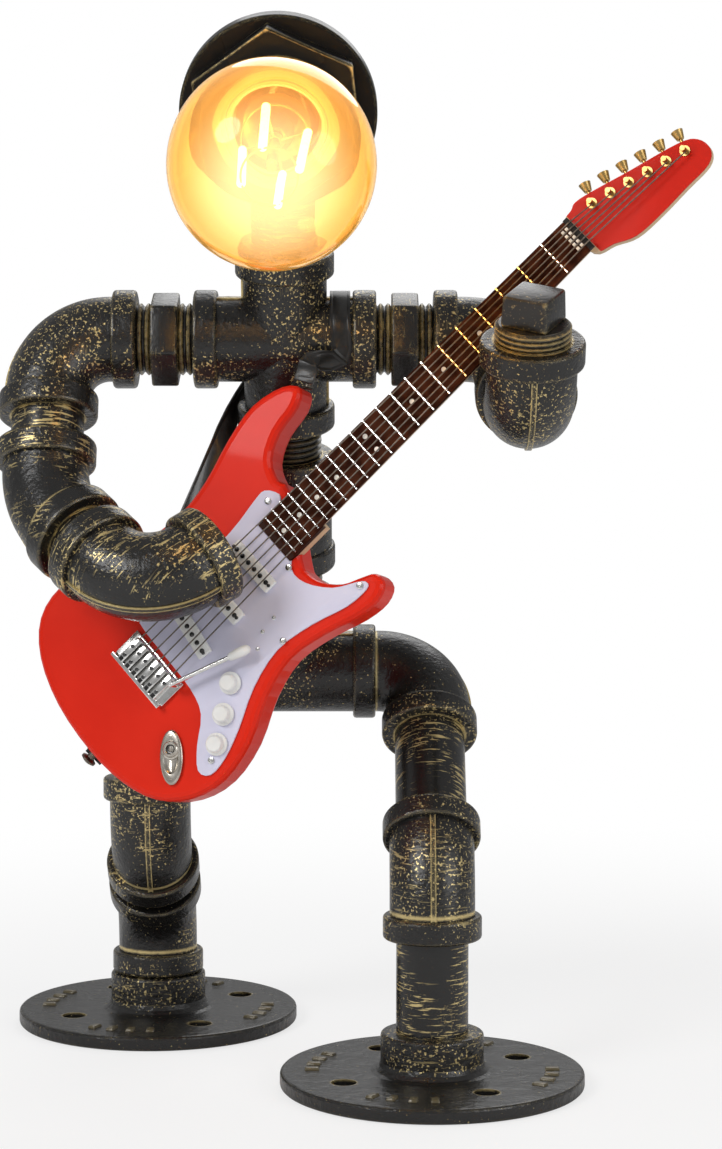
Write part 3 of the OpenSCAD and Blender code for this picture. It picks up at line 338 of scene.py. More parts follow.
def rubbed_iron(name, axis, edges=1.0, patches=1.0, strokes=1.0, flecks=1.0, skin=0.75,
                scale=SAND_SCALE, collar=None, shine=0.55):
    """Black paint with brass rub; strokes run across axis, skin is the depth of the casting grain.
    Above the height collar the patches are fullest, and shine is the gloss of the paint."""
    material, tree, surface = fresh_material(name)
    place = object_place(tree)
    tilt = Vector(axis).rotation_difference(Vector((0, 0, 1))).to_euler()
    tilted = add(tree, "ShaderNodeMapping", {"Vector": place, "Rotation": tilt}).outputs[0]
    if collar:
        height = add(tree, "ShaderNodeSeparateXYZ", {0: place}).outputs["Z"]
        patches = ramp(tree, height, collar - MM, collar + MM, patches, COLLAR_PATCHES, "LINEAR")
    mask = add(tree, "ShaderNodeGroup", {
        "Vector": tilted, "Edges": edges, "Patches": patches, "Strokes": strokes, "Flecks": flecks},
        node_tree=rub)
    cast = add(tree, "ShaderNodeGroup", {"Vector": place, "Scale": scale}, node_tree=grain)
    bump = add(tree, "ShaderNodeBump", {
        "Strength": skin, "Distance": GRAIN_DEPTH, "Height": cast.outputs["Height"]})
    brass, tone = mask.outputs["Rub"], mask.outputs["Tone"]
    paint = mix_colors(tree, tone, BLACK, WARM_BLACK)
    shader = add(tree, "ShaderNodeBsdfPrincipled", {
        "Base Color": mix_colors(tree, brass, paint, BRASS),
        "Metallic": calc(tree, "MULTIPLY", brass, BRASS_METAL),
        "Roughness": ramp(tree, tone, 0.0, 1.0, 0.16, 0.36, "LINEAR"),
        "Normal": bump.outputs["Normal"], "Specular IOR Level": shine})
    tree.links.new(shader.outputs[0], surface)
    return material


print("iron paint is ready")

# %% Castings and pipes get their finish
SIDEWAYS, UPRIGHT = (1, 0, 0), (0, 0, 1)
THIGH = (0, 0.7071, 0.7071)
RIGHT_UPPER = (0, -0.4226, -0.9063)
RIGHT_FORE = (0.6184, -0.6095, -0.4960)
TORSO, LOOK, LEFT_FORE = along(WAIST), along(HAT), along(LEFT_ELBOW)
FOOT_COLLAR = 0.007  # where the collar starts, over the floor


def dress(material, *names):
    """Gives CAD nodes a finish, slot by slot."""
    for name in names:
        for slot in nodes[name].material_slots:
            slot.material = material


hat_iron = rubbed_iron("iron_hat", LOOK, edges=0.8, patches=0.1, flecks=0.2, skin=0.25, shine=0.12)
dress(hat_iron, "hat_reducer")
dress(rubbed_iron("iron_foot", UPRIGHT, edges=0.5, patches=0.22, strokes=0.4, skin=0.9,
                  scale=520.0, collar=FOOT_COLLAR), "front_foot_flange", "rear_foot_flange")
dress(rubbed_iron("iron_upright", UPRIGHT, strokes=0.55, flecks=1.25),
      "front_knee_elbow", "rear_upper_elbow", "rear_lower_elbow", "rear_hip_elbow")
dress(rubbed_iron("iron_hip", SIDEWAYS, strokes=0.3, flecks=1.25),
      "hip_tee", "front_hip_elbow", "shoulder_cross", "right_shoulder_elbow", "left_shoulder_elbow")
dress(rubbed_iron("iron_torso", TORSO, strokes=0.6, flecks=1.2), "torso_coupling", "head_elbow")
dress(rubbed_iron("iron_right_arm", RIGHT_UPPER, patches=0.95), "right_arm_elbow")
dress(rubbed_iron("iron_right_hand", RIGHT_FORE, patches=0.95), "right_hand_elbow")
dress(rubbed_iron("iron_left_hand", LEFT_FORE, strokes=0.3, flecks=1.3), "left_hand_elbow")
for name, axis, members in (
    ("pipe_upright", UPRIGHT, ("front_shin_nipple", "rear_thigh_nipple", "rear_ankle_nipple",
                               "rear_close_nipple")),
    ("pipe_thigh", THIGH, ("front_thigh_nipple",)),
    ("pipe_torso", TORSO, ("neck_nipple",)),
    ("pipe_head", LOOK, ("head_nipple",)),
    ("pipe_right_upper", RIGHT_UPPER, ("right_upper_arm_nipple",)),
    ("pipe_right_fore", RIGHT_FORE, ("right_forearm_nipple",)),
    ("pipe_left_fore", LEFT_FORE, ("left_forearm_nipple",)),
):
    dress(rubbed_iron(name, axis, patches=2.0, strokes=1.1, flecks=0.45, skin=0.25), *members)
print("iron dressed")

# %% [markdown]
# ## Bulb
# The globe is thin amber glass around four lit filaments. Clear glass with a warm tint does the
# work. Its shadow rays pass straight through, so the lit filaments really light the hat behind.
# A faint warm glow that fades away from the axis of the filaments stands for the light that the
# amber film scatters.

# %% Plain materials, clouded by noise so that none is one flat colour
def principled(name, values, clouds=None):
    """One Principled shader. clouds are two base colours and the scale of the noise between them.
    Gives the material, its tree and the shader."""
    material, tree, surface = fresh_material(name)
    shader = add(tree, "ShaderNodeBsdfPrincipled", values)
    if clouds:
        low, high, scale = clouds
        cloud = ramp(tree, noise(tree, object_place(tree), scale, 4.0), 0.35, 0.65)
        tree.links.new(mix_colors(tree, cloud, low, high), shader.inputs["Base Color"])
    tree.links.new(shader.outputs[0], surface)
    return material, tree, shader


def plain(name, values, *clouds):
    """The material alone."""
    return principled(name, values, clouds)[0]


def tint_of(shader):
    """What colours a clouded shader."""
    return shader.inputs["Base Color"].links[0].from_socket


print("plain materials are ready")

# %% Amber glass
GLOW_FROM, GLOW_TO = 0.006, 0.025  # distance from the axis of the filaments
low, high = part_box("bulb_filaments")
FILAMENTS = (Vector(low) + Vector(high)) / 2
glass, tree, shader = principled("amber_glass", {
    "Base Color": (0.95, 0.64, 0.27, 1), "Roughness": 0.0, "IOR": 1.3, "Transmission Weight": 0.96,
    "Emission Strength": 0.5})
off = vector_calc(tree, "SUBTRACT", object_place(tree), FILAMENTS).outputs[0]
on_axis = vector_calc(tree, "PROJECT", off, LOOK).outputs[0]
away = vector_calc(tree, "DISTANCE", off, on_axis).outputs["Value"]
glow = mix_colors(tree, ramp(tree, away, GLOW_FROM, GLOW_TO),
                  (1.0, 0.82, 0.50, 1), (0.24, 0.13, 0.02, 1))
tree.links.new(glow, shader.inputs["Emission Color"])
surface = shader.outputs[0].links[0].to_socket
is_shadow = add(tree, "ShaderNodeLightPath").outputs["Is Shadow Ray"]
through = add(tree, "ShaderNodeBsdfTransparent", {"Color": (1.0, 0.86, 0.6, 1)}).outputs[0]
tree.links.new(mix_shaders(tree, is_shadow, shader.outputs[0], through), surface)
print("bulb at", [round(x, 3) for x in FILAMENTS])

# %% Stem, filaments, holder and leads
dress(plain("stem_glass", {"Roughness": 0.05, "Transmission Weight": 1.0},
            (1, 0.95, 0.85, 1), (0.96, 0.90, 0.78, 1), 250.0), "bulb_stem")
lit, tree, shader = principled("lit_filament", {"Emission Strength": 6.0},
                               ((1.0, 0.84, 0.50, 1), (1.0, 0.76, 0.40, 1), 700.0))
tree.links.new(tint_of(shader), shader.inputs["Emission Color"])
holder_brass = plain("holder_brass", {"Metallic": 1.0, "Roughness": 0.3},
                     (0.70, 0.48, 0.19, 1), (0.80, 0.60, 0.28, 1), 300.0)
dress(holder_brass, "bulb_cap", "socket_shell", "socket_contact")
dress(plain("holder_ceramic", {"Roughness": 0.2},
            (0.74, 0.71, 0.64, 1), (0.82, 0.80, 0.74, 1), 200.0), "lamp_socket")
dress(plain("lead_rubber", {"Roughness": 0.6},
            (0.02, 0.02, 0.02, 1), (0.04, 0.04, 0.04, 1), 400.0), "riser_lead", "head_lead")
print("bulb and holder dressed")

# %% [markdown]
# ## Guitar finishes
# A toy-sized but real-looking guitar: deep gloss red lacquer, a lavender-white plate, nickel
# hardware, gilt tuners, a dark fretboard and a pale neck. The neck is one piece of wood, but its
# headstock is lacquered on the face, and its other end is dark where it carries the fretboard over
# the body. Both are found by the distance from the nut, up the neck and out of its face.

# %% Lacquer, plastic and metal
dress(plain("red_lacquer", {"Roughness": 0.3, "Specular IOR Level": 0.08, "Coat Weight": 0.16,
                            "Coat Roughness": 0.03},
            (0.70, 0.018, 0.005, 1), (0.76, 0.024, 0.008, 1), 25.0), "guitar_body")
guard_plate = plain("guard_plate", {"Roughness": 0.5, "Specular IOR Level": 0.12},
                    (0.64, 0.63, 0.79, 1), (0.70, 0.69, 0.84, 1), 30.0)
white_plastic = plain("white_plastic", {"Roughness": 0.3},
                      (0.80, 0.80, 0.78, 1), (0.86, 0.86, 0.84, 1), 150.0)
dress(white_plastic, "volume_knob", "tone_knob_upper", "tone_knob_lower")
nickel = plain("nickel", {"Metallic": 1.0, "Roughness": 0.16},
               (0.70, 0.69, 0.67, 1), (0.80, 0.80, 0.79, 1), 600.0)
dress(nickel, "frets", "tremolo_arm")
worn_nickel = plain("worn_nickel", {"Metallic": 1.0, "Roughness": 0.24},
                    (0.46, 0.42, 0.36, 1), (0.62, 0.58, 0.52, 1), 350.0)
dress(plain("string_steel", {"Metallic": 1.0, "Roughness": 0.35},
            (0.13, 0.11, 0.09, 1), (0.20, 0.17, 0.14, 1), 900.0), "strings", "strap_buttons")
dress(plain("gilt", {"Metallic": 1.0, "Roughness": 0.34},
            (0.50, 0.33, 0.11, 1), (0.64, 0.44, 0.17, 1), 500.0), "tuning_pegs")
nut_black = plain("nut_black", {"Roughness": 0.5, "Specular IOR Level": 0.12},
                  (0.012, 0.012, 0.012, 1), (0.03, 0.03, 0.03, 1), 500.0)
print("lacquer, plastic and metal are ready")

# %% Woods
OVERHANG = -0.110  # where the neck goes over the body, up the neck from the nut
rosewood = plain("rosewood", {"Roughness": 0.6, "Specular IOR Level": 0.02},
                 (0.030, 0.009, 0.005, 1), (0.078, 0.025, 0.013, 1), 220.0)
maple, tree, shader = principled(
    "maple", {"Roughness": 0.4, "Specular IOR Level": 0.06, "Coat Weight": 0.03,
              "Coat Roughness": 0.05},
    ((0.62, 0.44, 0.26, 1), (0.70, 0.53, 0.34, 1), 60.0))
from_nut = vector_calc(tree, "SUBTRACT", object_place(tree), GUITAR.translation).outputs[0]
up_neck, off_face = (vector_calc(tree, "DOT_PRODUCT", from_nut, GUITAR.col[k].to_3d())
                     .outputs["Value"] for k in (0, 2))
headstock = calc(tree, "MULTIPLY", ramp(tree, up_neck, 0.0008, 0.0010),
                 ramp(tree, off_face, -0.0009, -0.0007))
overhang = calc(tree, "MULTIPLY", ramp(tree, up_neck, OVERHANG + 0.002, OVERHANG),
                ramp(tree, off_face, -0.0012, -0.0010))
dark_end = mix_colors(tree, overhang, tint_of(shader), (0.040, 0.013, 0.007, 1))
red_face = mix_colors(tree, headstock, dark_end, (0.60, 0.016, 0.006, 1))
tree.links.new(red_face, shader.inputs["Base Color"])
dress(maple, "guitar_neck")
print("guitar dressed")

# %% [markdown]
# ## Modelling
# The solids already hold the main forms. What follows are the small forms that a solid for
# collision leaves out: threads, screw heads, dots, pads, and the soft strap. Each one starts from a
# primitive and is shaped in edit mode. What repeats is modelled once and copied.

# %% Helpers: starting, picking and rounding
def begin(make, name, **options):
    """Adds a primitive with nothing else selected."""
    bpy.ops.object.select_all(action="DESELECT")
    make(**options)
    bpy.context.object.name = name
    return bpy.context.object


def block(name, x, y, z, lift=0):
    """A box of these sizes, its middle at the height lift."""
    piece = begin(bpy.ops.mesh.primitive_cube_add, name, size=MM, location=(0, 0, lift * MM))
    piece.scale = (x, y, z)
    bpy.ops.object.transform_apply(location=True, scale=True)
    return piece


def only(piece):
    """Makes this the only selected object."""
    bpy.ops.object.select_all(action="DESELECT")
    piece.select_set(True)
    bpy.context.view_layer.objects.active = piece


def pick(piece, kind, test):
    """In edit mode, selects the vertices or faces that pass the test."""
    bpy.ops.mesh.select_mode(type=kind)
    bpy.ops.mesh.select_all(action="DESELECT")
    shape = bmesh.from_edit_mesh(piece.data)
    for item in {"VERT": shape.verts, "FACE": shape.faces}[kind]:
        if test(item):
            item.select_set(True)
    bmesh.update_edit_mesh(piece.data)


def looks_up(face):
    """True for the top of an upright piece."""
    return face.normal.z > 0.9


def draw_in_top(piece, x, y):
    """Makes the top smaller than the bottom."""
    bpy.ops.object.mode_set(mode="EDIT")
    pick(piece, "FACE", looks_up)
    bpy.ops.transform.resize(value=(x, y, 1))
    bpy.ops.object.mode_set(mode="OBJECT")


def smooth(piece, angle):
    """Shades smooth what bends by less than the angle."""
    only(piece)
    bpy.ops.object.shade_smooth_by_angle(angle=math.radians(angle))


def soften(piece, width, segments=2, angle=30):
    """Rounds every edge sharper than the angle, then shades what is round smooth."""
    only(piece)
    round_off = piece.modifiers.new("round_off", "BEVEL")
    round_off.width = width * MM
    round_off.segments = segments
    round_off.limit_method = "ANGLE"
    round_off.angle_limit = math.radians(angle)
    bpy.ops.object.modifier_apply(modifier="round_off")
    smooth(piece, angle)


print("helpers for shaping are ready")

# %% Helper: a lathe
MERGE = 0.002 * MM  # points closer than this are one


def turned(name, profile, steps=48):
    """Turned on a lathe about Z: a point is drawn out along (radius, height), closed and spun."""
    piece = begin(bpy.ops.mesh.primitive_plane_add, name, size=MM)
    bpy.ops.object.mode_set(mode="EDIT")
    bpy.ops.mesh.select_mode(type="VERT")
    bpy.ops.mesh.select_all(action="SELECT")
    bpy.ops.mesh.merge(type="CENTER")
    here = Vector((0, 0, 0))
    for k, (radius, height) in enumerate(profile):
        step = Vector((radius * MM, 0, height * MM)) - here
        if k == 0:
            bpy.ops.transform.translate(value=step)
        else:
            bpy.ops.mesh.extrude_vertices_move(TRANSFORM_OT_translate={"value": step})
        here += step
    ends = [Vector((profile[k][0] * MM, 0, profile[k][1] * MM)) for k in (0, -1)]
    if min(end.x for end in ends) > MERGE:
        pick(piece, "VERT", lambda v: min((v.co - end).length for end in ends) < MERGE)
        bpy.ops.mesh.edge_face_add()
    bpy.ops.mesh.select_all(action="SELECT")
    bpy.ops.mesh.spin(steps=steps, angle=2 * math.pi, center=(0, 0, 0), axis=(0, 0, 1))
    bpy.ops.mesh.select_all(action="SELECT")
    bpy.ops.mesh.remove_doubles(threshold=MERGE)
    bpy.ops.mesh.normals_make_consistent(inside=False)
    bpy.ops.object.mode_set(mode="OBJECT")
    return piece


print("lathe is ready")

# %% Helpers: placing, copying and handing over
def put(piece, place):
    """Moves a piece to its place and applies the move, so its object stays at the origin."""
    only(piece)
    piece.matrix_world = place
    bpy.ops.object.transform_apply(location=True, rotation=True, scale=True)
    return piece


def join(name, made):
    """Joins pieces into one."""
    bpy.ops.object.select_all(action="DESELECT")
    for piece in made:
        piece.select_set(True)
    bpy.context.view_layer.objects.active = made[0]
    if len(made) > 1:
        bpy.ops.object.join()
    bpy.context.object.name = name
    return bpy.context.object


def copy_of(thing, name):
    """A copy with a mesh of its own, selected alone."""
    only(thing)
    bpy.ops.object.duplicate(linked=False)
    bpy.context.object.name = name
    return bpy.context.object


def repeat(name, pattern, places):
    """Copies a pattern to the places and joins the copies."""
    made = [put(copy_of(pattern, name), place) for place in places]
    bpy.data.objects.remove(pattern)
    return join(name, made)


def finish_piece(piece, material, body, slot, *stands_for):
    """Gives a piece its finish and body, and hides the solids that it stands for. The slot is not
    used.
    """
    piece.data.materials.clear()
    piece.data.materials.append(material)
    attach(piece, body)
    if stands_for:
        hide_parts(*stands_for)
    print(piece.name, len(piece.data.polygons), "faces")


print("helpers for placing are ready")

# %% [markdown]
# ## Threads, hexagons and the plug
# Between the fittings of the torso and at the shoulders a few turns of pipe thread show. The barrel
# is turned with a saw-tooth profile. The hexagon of a shoulder nipple and the square of the plug
# are primitives with rounded edges, so the brass rub finds an edge to sit on.

# %% Threaded barrels of the torso
PIPE, BORE = 10.65, 7.9  # radii
FLAT = 10.4  # radius under the hexagon
SEAT = 9.5  # how deep a nipple sits in a fitting
THREAD_PITCH = 1.8
THREAD_SMOOTH = 24  # degrees


def thread(start, end, root=9.75):
    """Saw-tooth profile points between two heights."""
    count = max(1, round((end - start) / THREAD_PITCH))
    step = (end - start) / count
    tooth = ((0.08, root), (0.42, PIPE), (0.6, PIPE), (0.94, root))
    return [(radius, start + (k + part) * step) for k in range(count) for part, radius in tooth]


def barrel(name, gap, bare=None):
    """A nipple: threaded over the gap between two fittings, bare where the hexagon sits."""
    middle = thread(0, gap)
    if bare:
        low, high = bare
        middle = thread(0.2, low) + [(FLAT, low), (FLAT, high)] + thread(high, gap - 0.2)
    bottom = [(BORE, -SEAT), (PIPE, -SEAT), (PIPE, -0.2)]
    top = [(PIPE, gap + 0.2), (PIPE, gap + SEAT), (BORE, gap + SEAT)]
    return turned(name, bottom + middle + top)


thread_iron = rubbed_iron("iron_threads", SIDEWAYS, edges=0.35, patches=0.35, strokes=0.5,
                          flecks=0.4, skin=0.15)
for name, seat in (("waist", WAIST), ("chest", CHEST)):
    piece = put(barrel(name + "_threads", TORSO_GAP), seat)
    smooth(piece, THREAD_SMOOTH)
    finish_piece(piece, thread_iron, "frame", "pipe_steel", name + "_nipple")

# %% Shoulder nipples with a hexagon
HEX_ACROSS, HEX_HEIGHT = 24.8, 8
HEX_ROOM = (4.6, 12.4)


def hexagon(name, across, height, lift):
    """A hexagon collar with round edges; its ends are ringed and fanned out from the middle."""
    corner = across / 2 / math.cos(math.pi / 6)
    collar = begin(bpy.ops.mesh.primitive_cylinder_add, name, vertices=6, radius=corner * MM,
                   depth=height * MM, location=(0, 0, lift * MM))
    bpy.ops.object.transform_apply(location=True)
    bpy.ops.object.mode_set(mode="EDIT")
    pick(collar, "FACE", lambda f: abs(f.normal.z) > 0.9)
    bpy.ops.mesh.inset(thickness=1.1 * MM, depth=0.0)
    pick(collar, "FACE", lambda f: abs(f.normal.z) > 0.9 and len(f.verts) == 6)
    bpy.ops.mesh.poke()
    bpy.ops.object.mode_set(mode="OBJECT")
    soften(collar, 0.75, 3)
    return collar


hex_iron = rubbed_iron("iron_hexagon", SIDEWAYS, edges=0.55, patches=0.6, strokes=0.8, flecks=0.8,
                       skin=0.45)
for side, seat in (("right", RIGHT_SHOULDER), ("left", LEFT_SHOULDER)):
    threaded = barrel(side + "_shoulder_barrel", SHOULDER_GAP, HEX_ROOM)
    collar = hexagon(side + "_shoulder_hexagon", HEX_ACROSS, HEX_HEIGHT, SHOULDER_GAP / 2)
    piece = put(join(side + "_shoulder_threads", [threaded, collar]), seat)
    smooth(piece, THREAD_SMOOTH)
    finish_piece(piece, hex_iron, "frame", "fitting_iron", side + "_shoulder_nipple")

# %% Square plug of the left hand
SQUARE, SQUARE_HEIGHT = 13.8, 9
SQUARE_TURN = 62  # degrees, where the plug stopped
threaded = turned("plug_barrel", [(0, -SEAT), (PIPE, -SEAT), (PIPE, 0.3)]
                  + thread(0.3, 4.9, root=9.9) + [(9.6, 5.2), (0, 5.2)])
square = block("plug_square", SQUARE, SQUARE, SQUARE_HEIGHT, lift=9.5)
draw_in_top(square, 0.95, 0.95)
soften(square, 0.9, 3)
put(square, turn("Z", SQUARE_TURN))
plug = put(join("square_plug", [threaded, square]), PLUG)
smooth(plug, THREAD_SMOOTH)
plug_iron = rubbed_iron("iron_plug", along(PLUG), edges=0.5, patches=0.5, strokes=0.5, flecks=0.7,
                        skin=0.3)
finish_piece(plug, plug_iron, "plug", "fitting_iron", "left_hand_plug")

# %% [markdown]
# ## Pads on the feet
# A cast flange carries raised casting marks. They stay generic here: short rounded pads in four
# arcs between the holes. One pad is a block with its top drawn in and its edges rounded, and the
# rest are copies.

# %% Cast pads
PAD_ARCS = (255, 345, 75, 165)  # degrees round the foot
PAD_STEPS = (-15, -5, 5, 15)
PAD_RING, PAD_LIFT = 35.5, 4.75
pad = block("cast_pad", 4.6, 2.8, 1.0)
draw_in_top(pad, 0.84, 0.74)
soften(pad, 0.3)
pads = repeat("front_foot_pads", pad, [
    turn("Z", arc + step) @ shift(PAD_RING, 0, PAD_LIFT) for arc in PAD_ARCS for step in PAD_STEPS])
rear_pads = put(copy_of(pads, "rear_foot_pads"), REAR_FOOT)
pad_iron = rubbed_iron("iron_pads", UPRIGHT, edges=0.3, patches=0.3, strokes=0.4, flecks=0.6,
                       skin=0.6)
for piece in (pads, rear_pads):
    finish_piece(piece, pad_iron, "frame", "fitting_iron")

# %% [markdown]
# ## Small parts of the guitar
# Screws, pole pieces, inlay dots, string clamps, the jack nut and the white tip of the tremolo arm
# are what the eye looks for on a guitar. They are laid out in the guitar's own plane: X runs up the
# neck from the nut, Y towards the upper horn, Z out of the face.

# %% Screws of the plate and the switch
GUARD, PICKUP_TOP, BOARD, SADDLE = 0.8, 2.3, 2.4, 3.6  # heights of the tops over the body
GUARD_SCREWS = ((-116.7, 10.4), (-125, -8.5), (-113, -27.5), (-140.4, -23), (-179.4, -33.2))
SWITCH_SCREWS = ((-138, -16.1), (-143.2, -16.7), (-147.6, -19.3))


def on_guitar(x, y, z, degrees=0):
    """A place in the guitar's plane, turned about Z."""
    return GUITAR @ shift(x, y, z) @ turn("Z", degrees)


def screw_head(radius, height):
    """A pan head: a drum whose top is drawn in twice and sunk in the middle for the driver."""
    head = begin(bpy.ops.mesh.primitive_cylinder_add, "screw", vertices=20, radius=radius * MM,
                 depth=height * MM)
    bpy.ops.object.mode_set(mode="EDIT")
    pick(head, "FACE", looks_up)
    bpy.ops.mesh.inset(thickness=0.28 * radius * MM, depth=0.22 * height * MM)
    bpy.ops.mesh.inset(thickness=0.34 * radius * MM, depth=0.0)
    bpy.ops.mesh.inset(thickness=0.08 * radius * MM, depth=-0.5 * height * MM)
    bpy.ops.object.mode_set(mode="OBJECT")
    smooth(head, 35)
    return head


def screws(name, radius, height, places, material):
    """Screws of one kind, all on the frame."""
    row = repeat(name, screw_head(radius, height), places)
    finish_piece(row, material, "frame", "nickel")


screws("guard_screws", 1.0, 0.5, [on_guitar(x, y, GUARD + 0.2) for x, y in GUARD_SCREWS], nickel)
screws("switch_screws", 0.6, 0.4, [on_guitar(x, y, GUARD + 0.15) for x, y in SWITCH_SCREWS], nickel)

# %% Screws and slots of the saddles
NUT_PITCH, SADDLE_PITCH = 1.6, 3.0  # from string to string


def across(pitch, count=6):
    """Places across the neck, evenly round its middle."""
    return [(k - (count - 1) / 2) * pitch for k in range(count)]


dark_steel = plain("dark_steel", {"Metallic": 1.0, "Roughness": 0.35},
                   (0.05, 0.05, 0.05, 1), (0.12, 0.12, 0.12, 1), 900.0)
screws("saddle_screws", 0.55, 0.5, [on_guitar(x, y, SADDLE + 0.1) for y in across(SADDLE_PITCH)
                                    for x in (-174.6, -178.2)], dark_steel)
slot_bar = block("slot_bar", 1.3, 1.3, 0.3)
soften(slot_bar, 0.12)
slots = repeat("saddle_slots", slot_bar, [
    on_guitar(-179.6, y, SADDLE - 0.05) for y in across(SADDLE_PITCH)])
finish_piece(slots, nut_black, "frame", "nickel")

# %% Pole pieces under the strings
SCALE_LENGTH = 171
PICKUPS = ((-132.7, -0.5, 0), (-146, -0.5, 0), (-159, -1, -9))  # x, y and turn
PICKUP_SCREW = 8.0  # from the middle of a pickup
poles = []
for x, y, degrees in PICKUPS:
    pitch = NUT_PITCH + (SADDLE_PITCH - NUT_PITCH) * -x / SCALE_LENGTH
    poles += [on_guitar(x, y, PICKUP_TOP + 0.05, degrees) @ shift(0, side, 0)
              for side in across(pitch)]
pole = begin(bpy.ops.mesh.primitive_cylinder_add, "pole", vertices=16, radius=0.72 * MM,
             depth=0.5 * MM)
soften(pole, 0.15)
finish_piece(repeat("pole_pieces", pole, poles), dark_steel, "frame", "nickel")
screws("pickup_screws", 0.5, 0.4, [
    on_guitar(x, y, PICKUP_TOP + 0.1, degrees) @ shift(0, side, 0)
    for x, y, degrees in PICKUPS for side in (-PICKUP_SCREW, PICKUP_SCREW)], dark_steel)

# %% Inlay dots of the fretboard
DOTTED_FRETS = (3, 5, 7, 9, 12, 15, 17, 19, 21)
OCTAVE = 12


def fret_x(k):
    """Where a fret stands, from the scale length."""
    return -SCALE_LENGTH * (1 - 2 ** (-k / OCTAVE))


dots = []
for k in DOTTED_FRETS:
    middle = (fret_x(k) + fret_x(k - 1)) / 2
    dots += [on_guitar(middle, y, BOARD) for y in ((-2.6, 2.6) if k == OCTAVE else (0,))]
dot = begin(bpy.ops.mesh.primitive_cylinder_add, "dot", vertices=20, radius=0.75 * MM,
            depth=0.16 * MM)
soften(dot, 0.05)
pearl = plain("pearl_dot", {"Roughness": 0.25},
              (0.72, 0.70, 0.64, 1), (0.9, 0.89, 0.86, 1), 900.0)
finish_piece(repeat("inlay_dots", dot, dots), pearl, "frame", "white_plastic")

# %% String clamps at the nut
CLAMP_ROWS = (-1.5, -2.9)
clamp = block("clamp", 0.95, 0.95, 0.8)
soften(clamp, 0.14)
clamps = repeat("nut_clamps", clamp, [
    on_guitar(x, y, BOARD + 0.35) for x in CLAMP_ROWS for y in across(NUT_PITCH, 5)])
finish_piece(clamps, pearl, "frame", "white_plastic")

# %% Jack nut and its screws
JACK = on_guitar(-188, -24, 1.0, 49)
JACK_HOLE = JACK @ shift(2.4, 0, 0)
JACK_SCREW = 5.9  # from the middle of the dish
ring = turned("jack_ring", [(1.35, -0.3), (1.35, 0.75), (1.6, 0.95), (2.0, 0.95), (2.3, 0.7),
                            (2.5, 0.3), (3.0, 0.15), (3.0, -0.1)], 36)
put(ring, JACK_HOLE)
ends = repeat("jack_screws", screw_head(0.7, 0.4), [
    JACK @ shift(x, 0, 0.12) for x in (-JACK_SCREW, JACK_SCREW)])
jack = join("jack_nut", [ring, ends])
smooth(jack, 30)
finish_piece(jack, worn_nickel, "frame", "nickel")

# %% White tip of the tremolo arm
ARM = on_guitar(-173, -9.8, 5.6, -20) @ turn("Y", 90)
tip = turned("tremolo_tip", [(0, 19.6), (0.9, 19.6), (1.2, 20.2), (1.45, 22.5), (1.5, 24.6),
                             (1.25, 25.9), (0.7, 26.5), (0, 26.6)], 24)
put(tip, ARM)
smooth(tip, 40)
finish_piece(tip, white_plastic, "tremolo", "white_plastic")

# %% [markdown]
# ## The strap
# The strap is soft: a narrow band of patent leather, with a pressed line along both edges where it
# is sewn. It lies exactly where its solid lies, so it starts from a copy of that solid. The loose
# triangles are merged and paired into quads, the broad faces are drawn in and sunk a little to make
# the pressed line, and the long edges are rounded.

# %% Strap over the shoulder
BROAD_SIDE, BROAD_AREA = 1.2 * MM, 9e-6  # what is larger is a broad face
LINE_INSET, LINE_WIDTH, LINE_DEPTH = 0.75 * MM, 0.2 * MM, 0.1 * MM


def merged_copy(node, name):
    """A copy of a solid with its loose triangles merged, in edit mode."""
    piece = copy_of(nodes[node], name)
    bpy.ops.object.mode_set(mode="EDIT")
    bpy.ops.mesh.select_all(action="SELECT")
    bpy.ops.mesh.remove_doubles(threshold=MERGE)
    return piece


def is_broad(face):
    """True for the two sides of the band."""
    return min(e.calc_length() for e in face.edges) > BROAD_SIDE or face.calc_area() > BROAD_AREA


strap = merged_copy("strap", "shoulder_strap")
bpy.ops.mesh.tris_convert_to_quads(face_threshold=math.radians(60),
                                   shape_threshold=math.radians(80))
pick(strap, "FACE", is_broad)
bpy.ops.mesh.inset(thickness=LINE_INSET, depth=0.0)
bpy.ops.mesh.inset(thickness=LINE_WIDTH, depth=-LINE_DEPTH)
bpy.ops.mesh.inset(thickness=LINE_WIDTH, depth=LINE_DEPTH)
bpy.ops.object.mode_set(mode="OBJECT")
soften(strap, 0.2, 2, 40)
smooth(strap, 50)
leather, tree, shader = principled(
    "patent_leather", {"Roughness": 0.34, "Specular IOR Level": 0.35, "Coat Weight": 0.1,
                       "Coat Roughness": 0.1},
    ((0.010, 0.010, 0.010, 1), (0.022, 0.021, 0.020, 1), 260.0))
pores = add(tree, "ShaderNodeTexVoronoi", {"Vector": object_place(tree), "Scale": 1500.0})
bump = add(tree, "ShaderNodeBump", {"Strength": 0.25, "Distance": 0.1 * MM,
                                    "Height": pores.outputs["Distance"]})
tree.links.new(bump.outputs["Normal"], shader.inputs["Normal"])
finish_piece(strap, leather, "frame", "strap_leather", "strap")

# %% [markdown]
# ## Edges that are not sharp
# Stamped metal, moulded plastic and a cast hexagon have small rounded edges that catch light. A
# copy of the solid is merged, its flat faces are made whole again and its edges are rounded.

# %% Softened copies of solids
def softened(node, name, width):
    """A copy of a solid with rounded edges."""
    piece = merged_copy(node, name)
    bpy.ops.mesh.dissolve_limited(angle_limit=math.radians(0.5))
    bpy.ops.object.mode_set(mode="OBJECT")
    soften(piece, width, angle=35)
    return piece


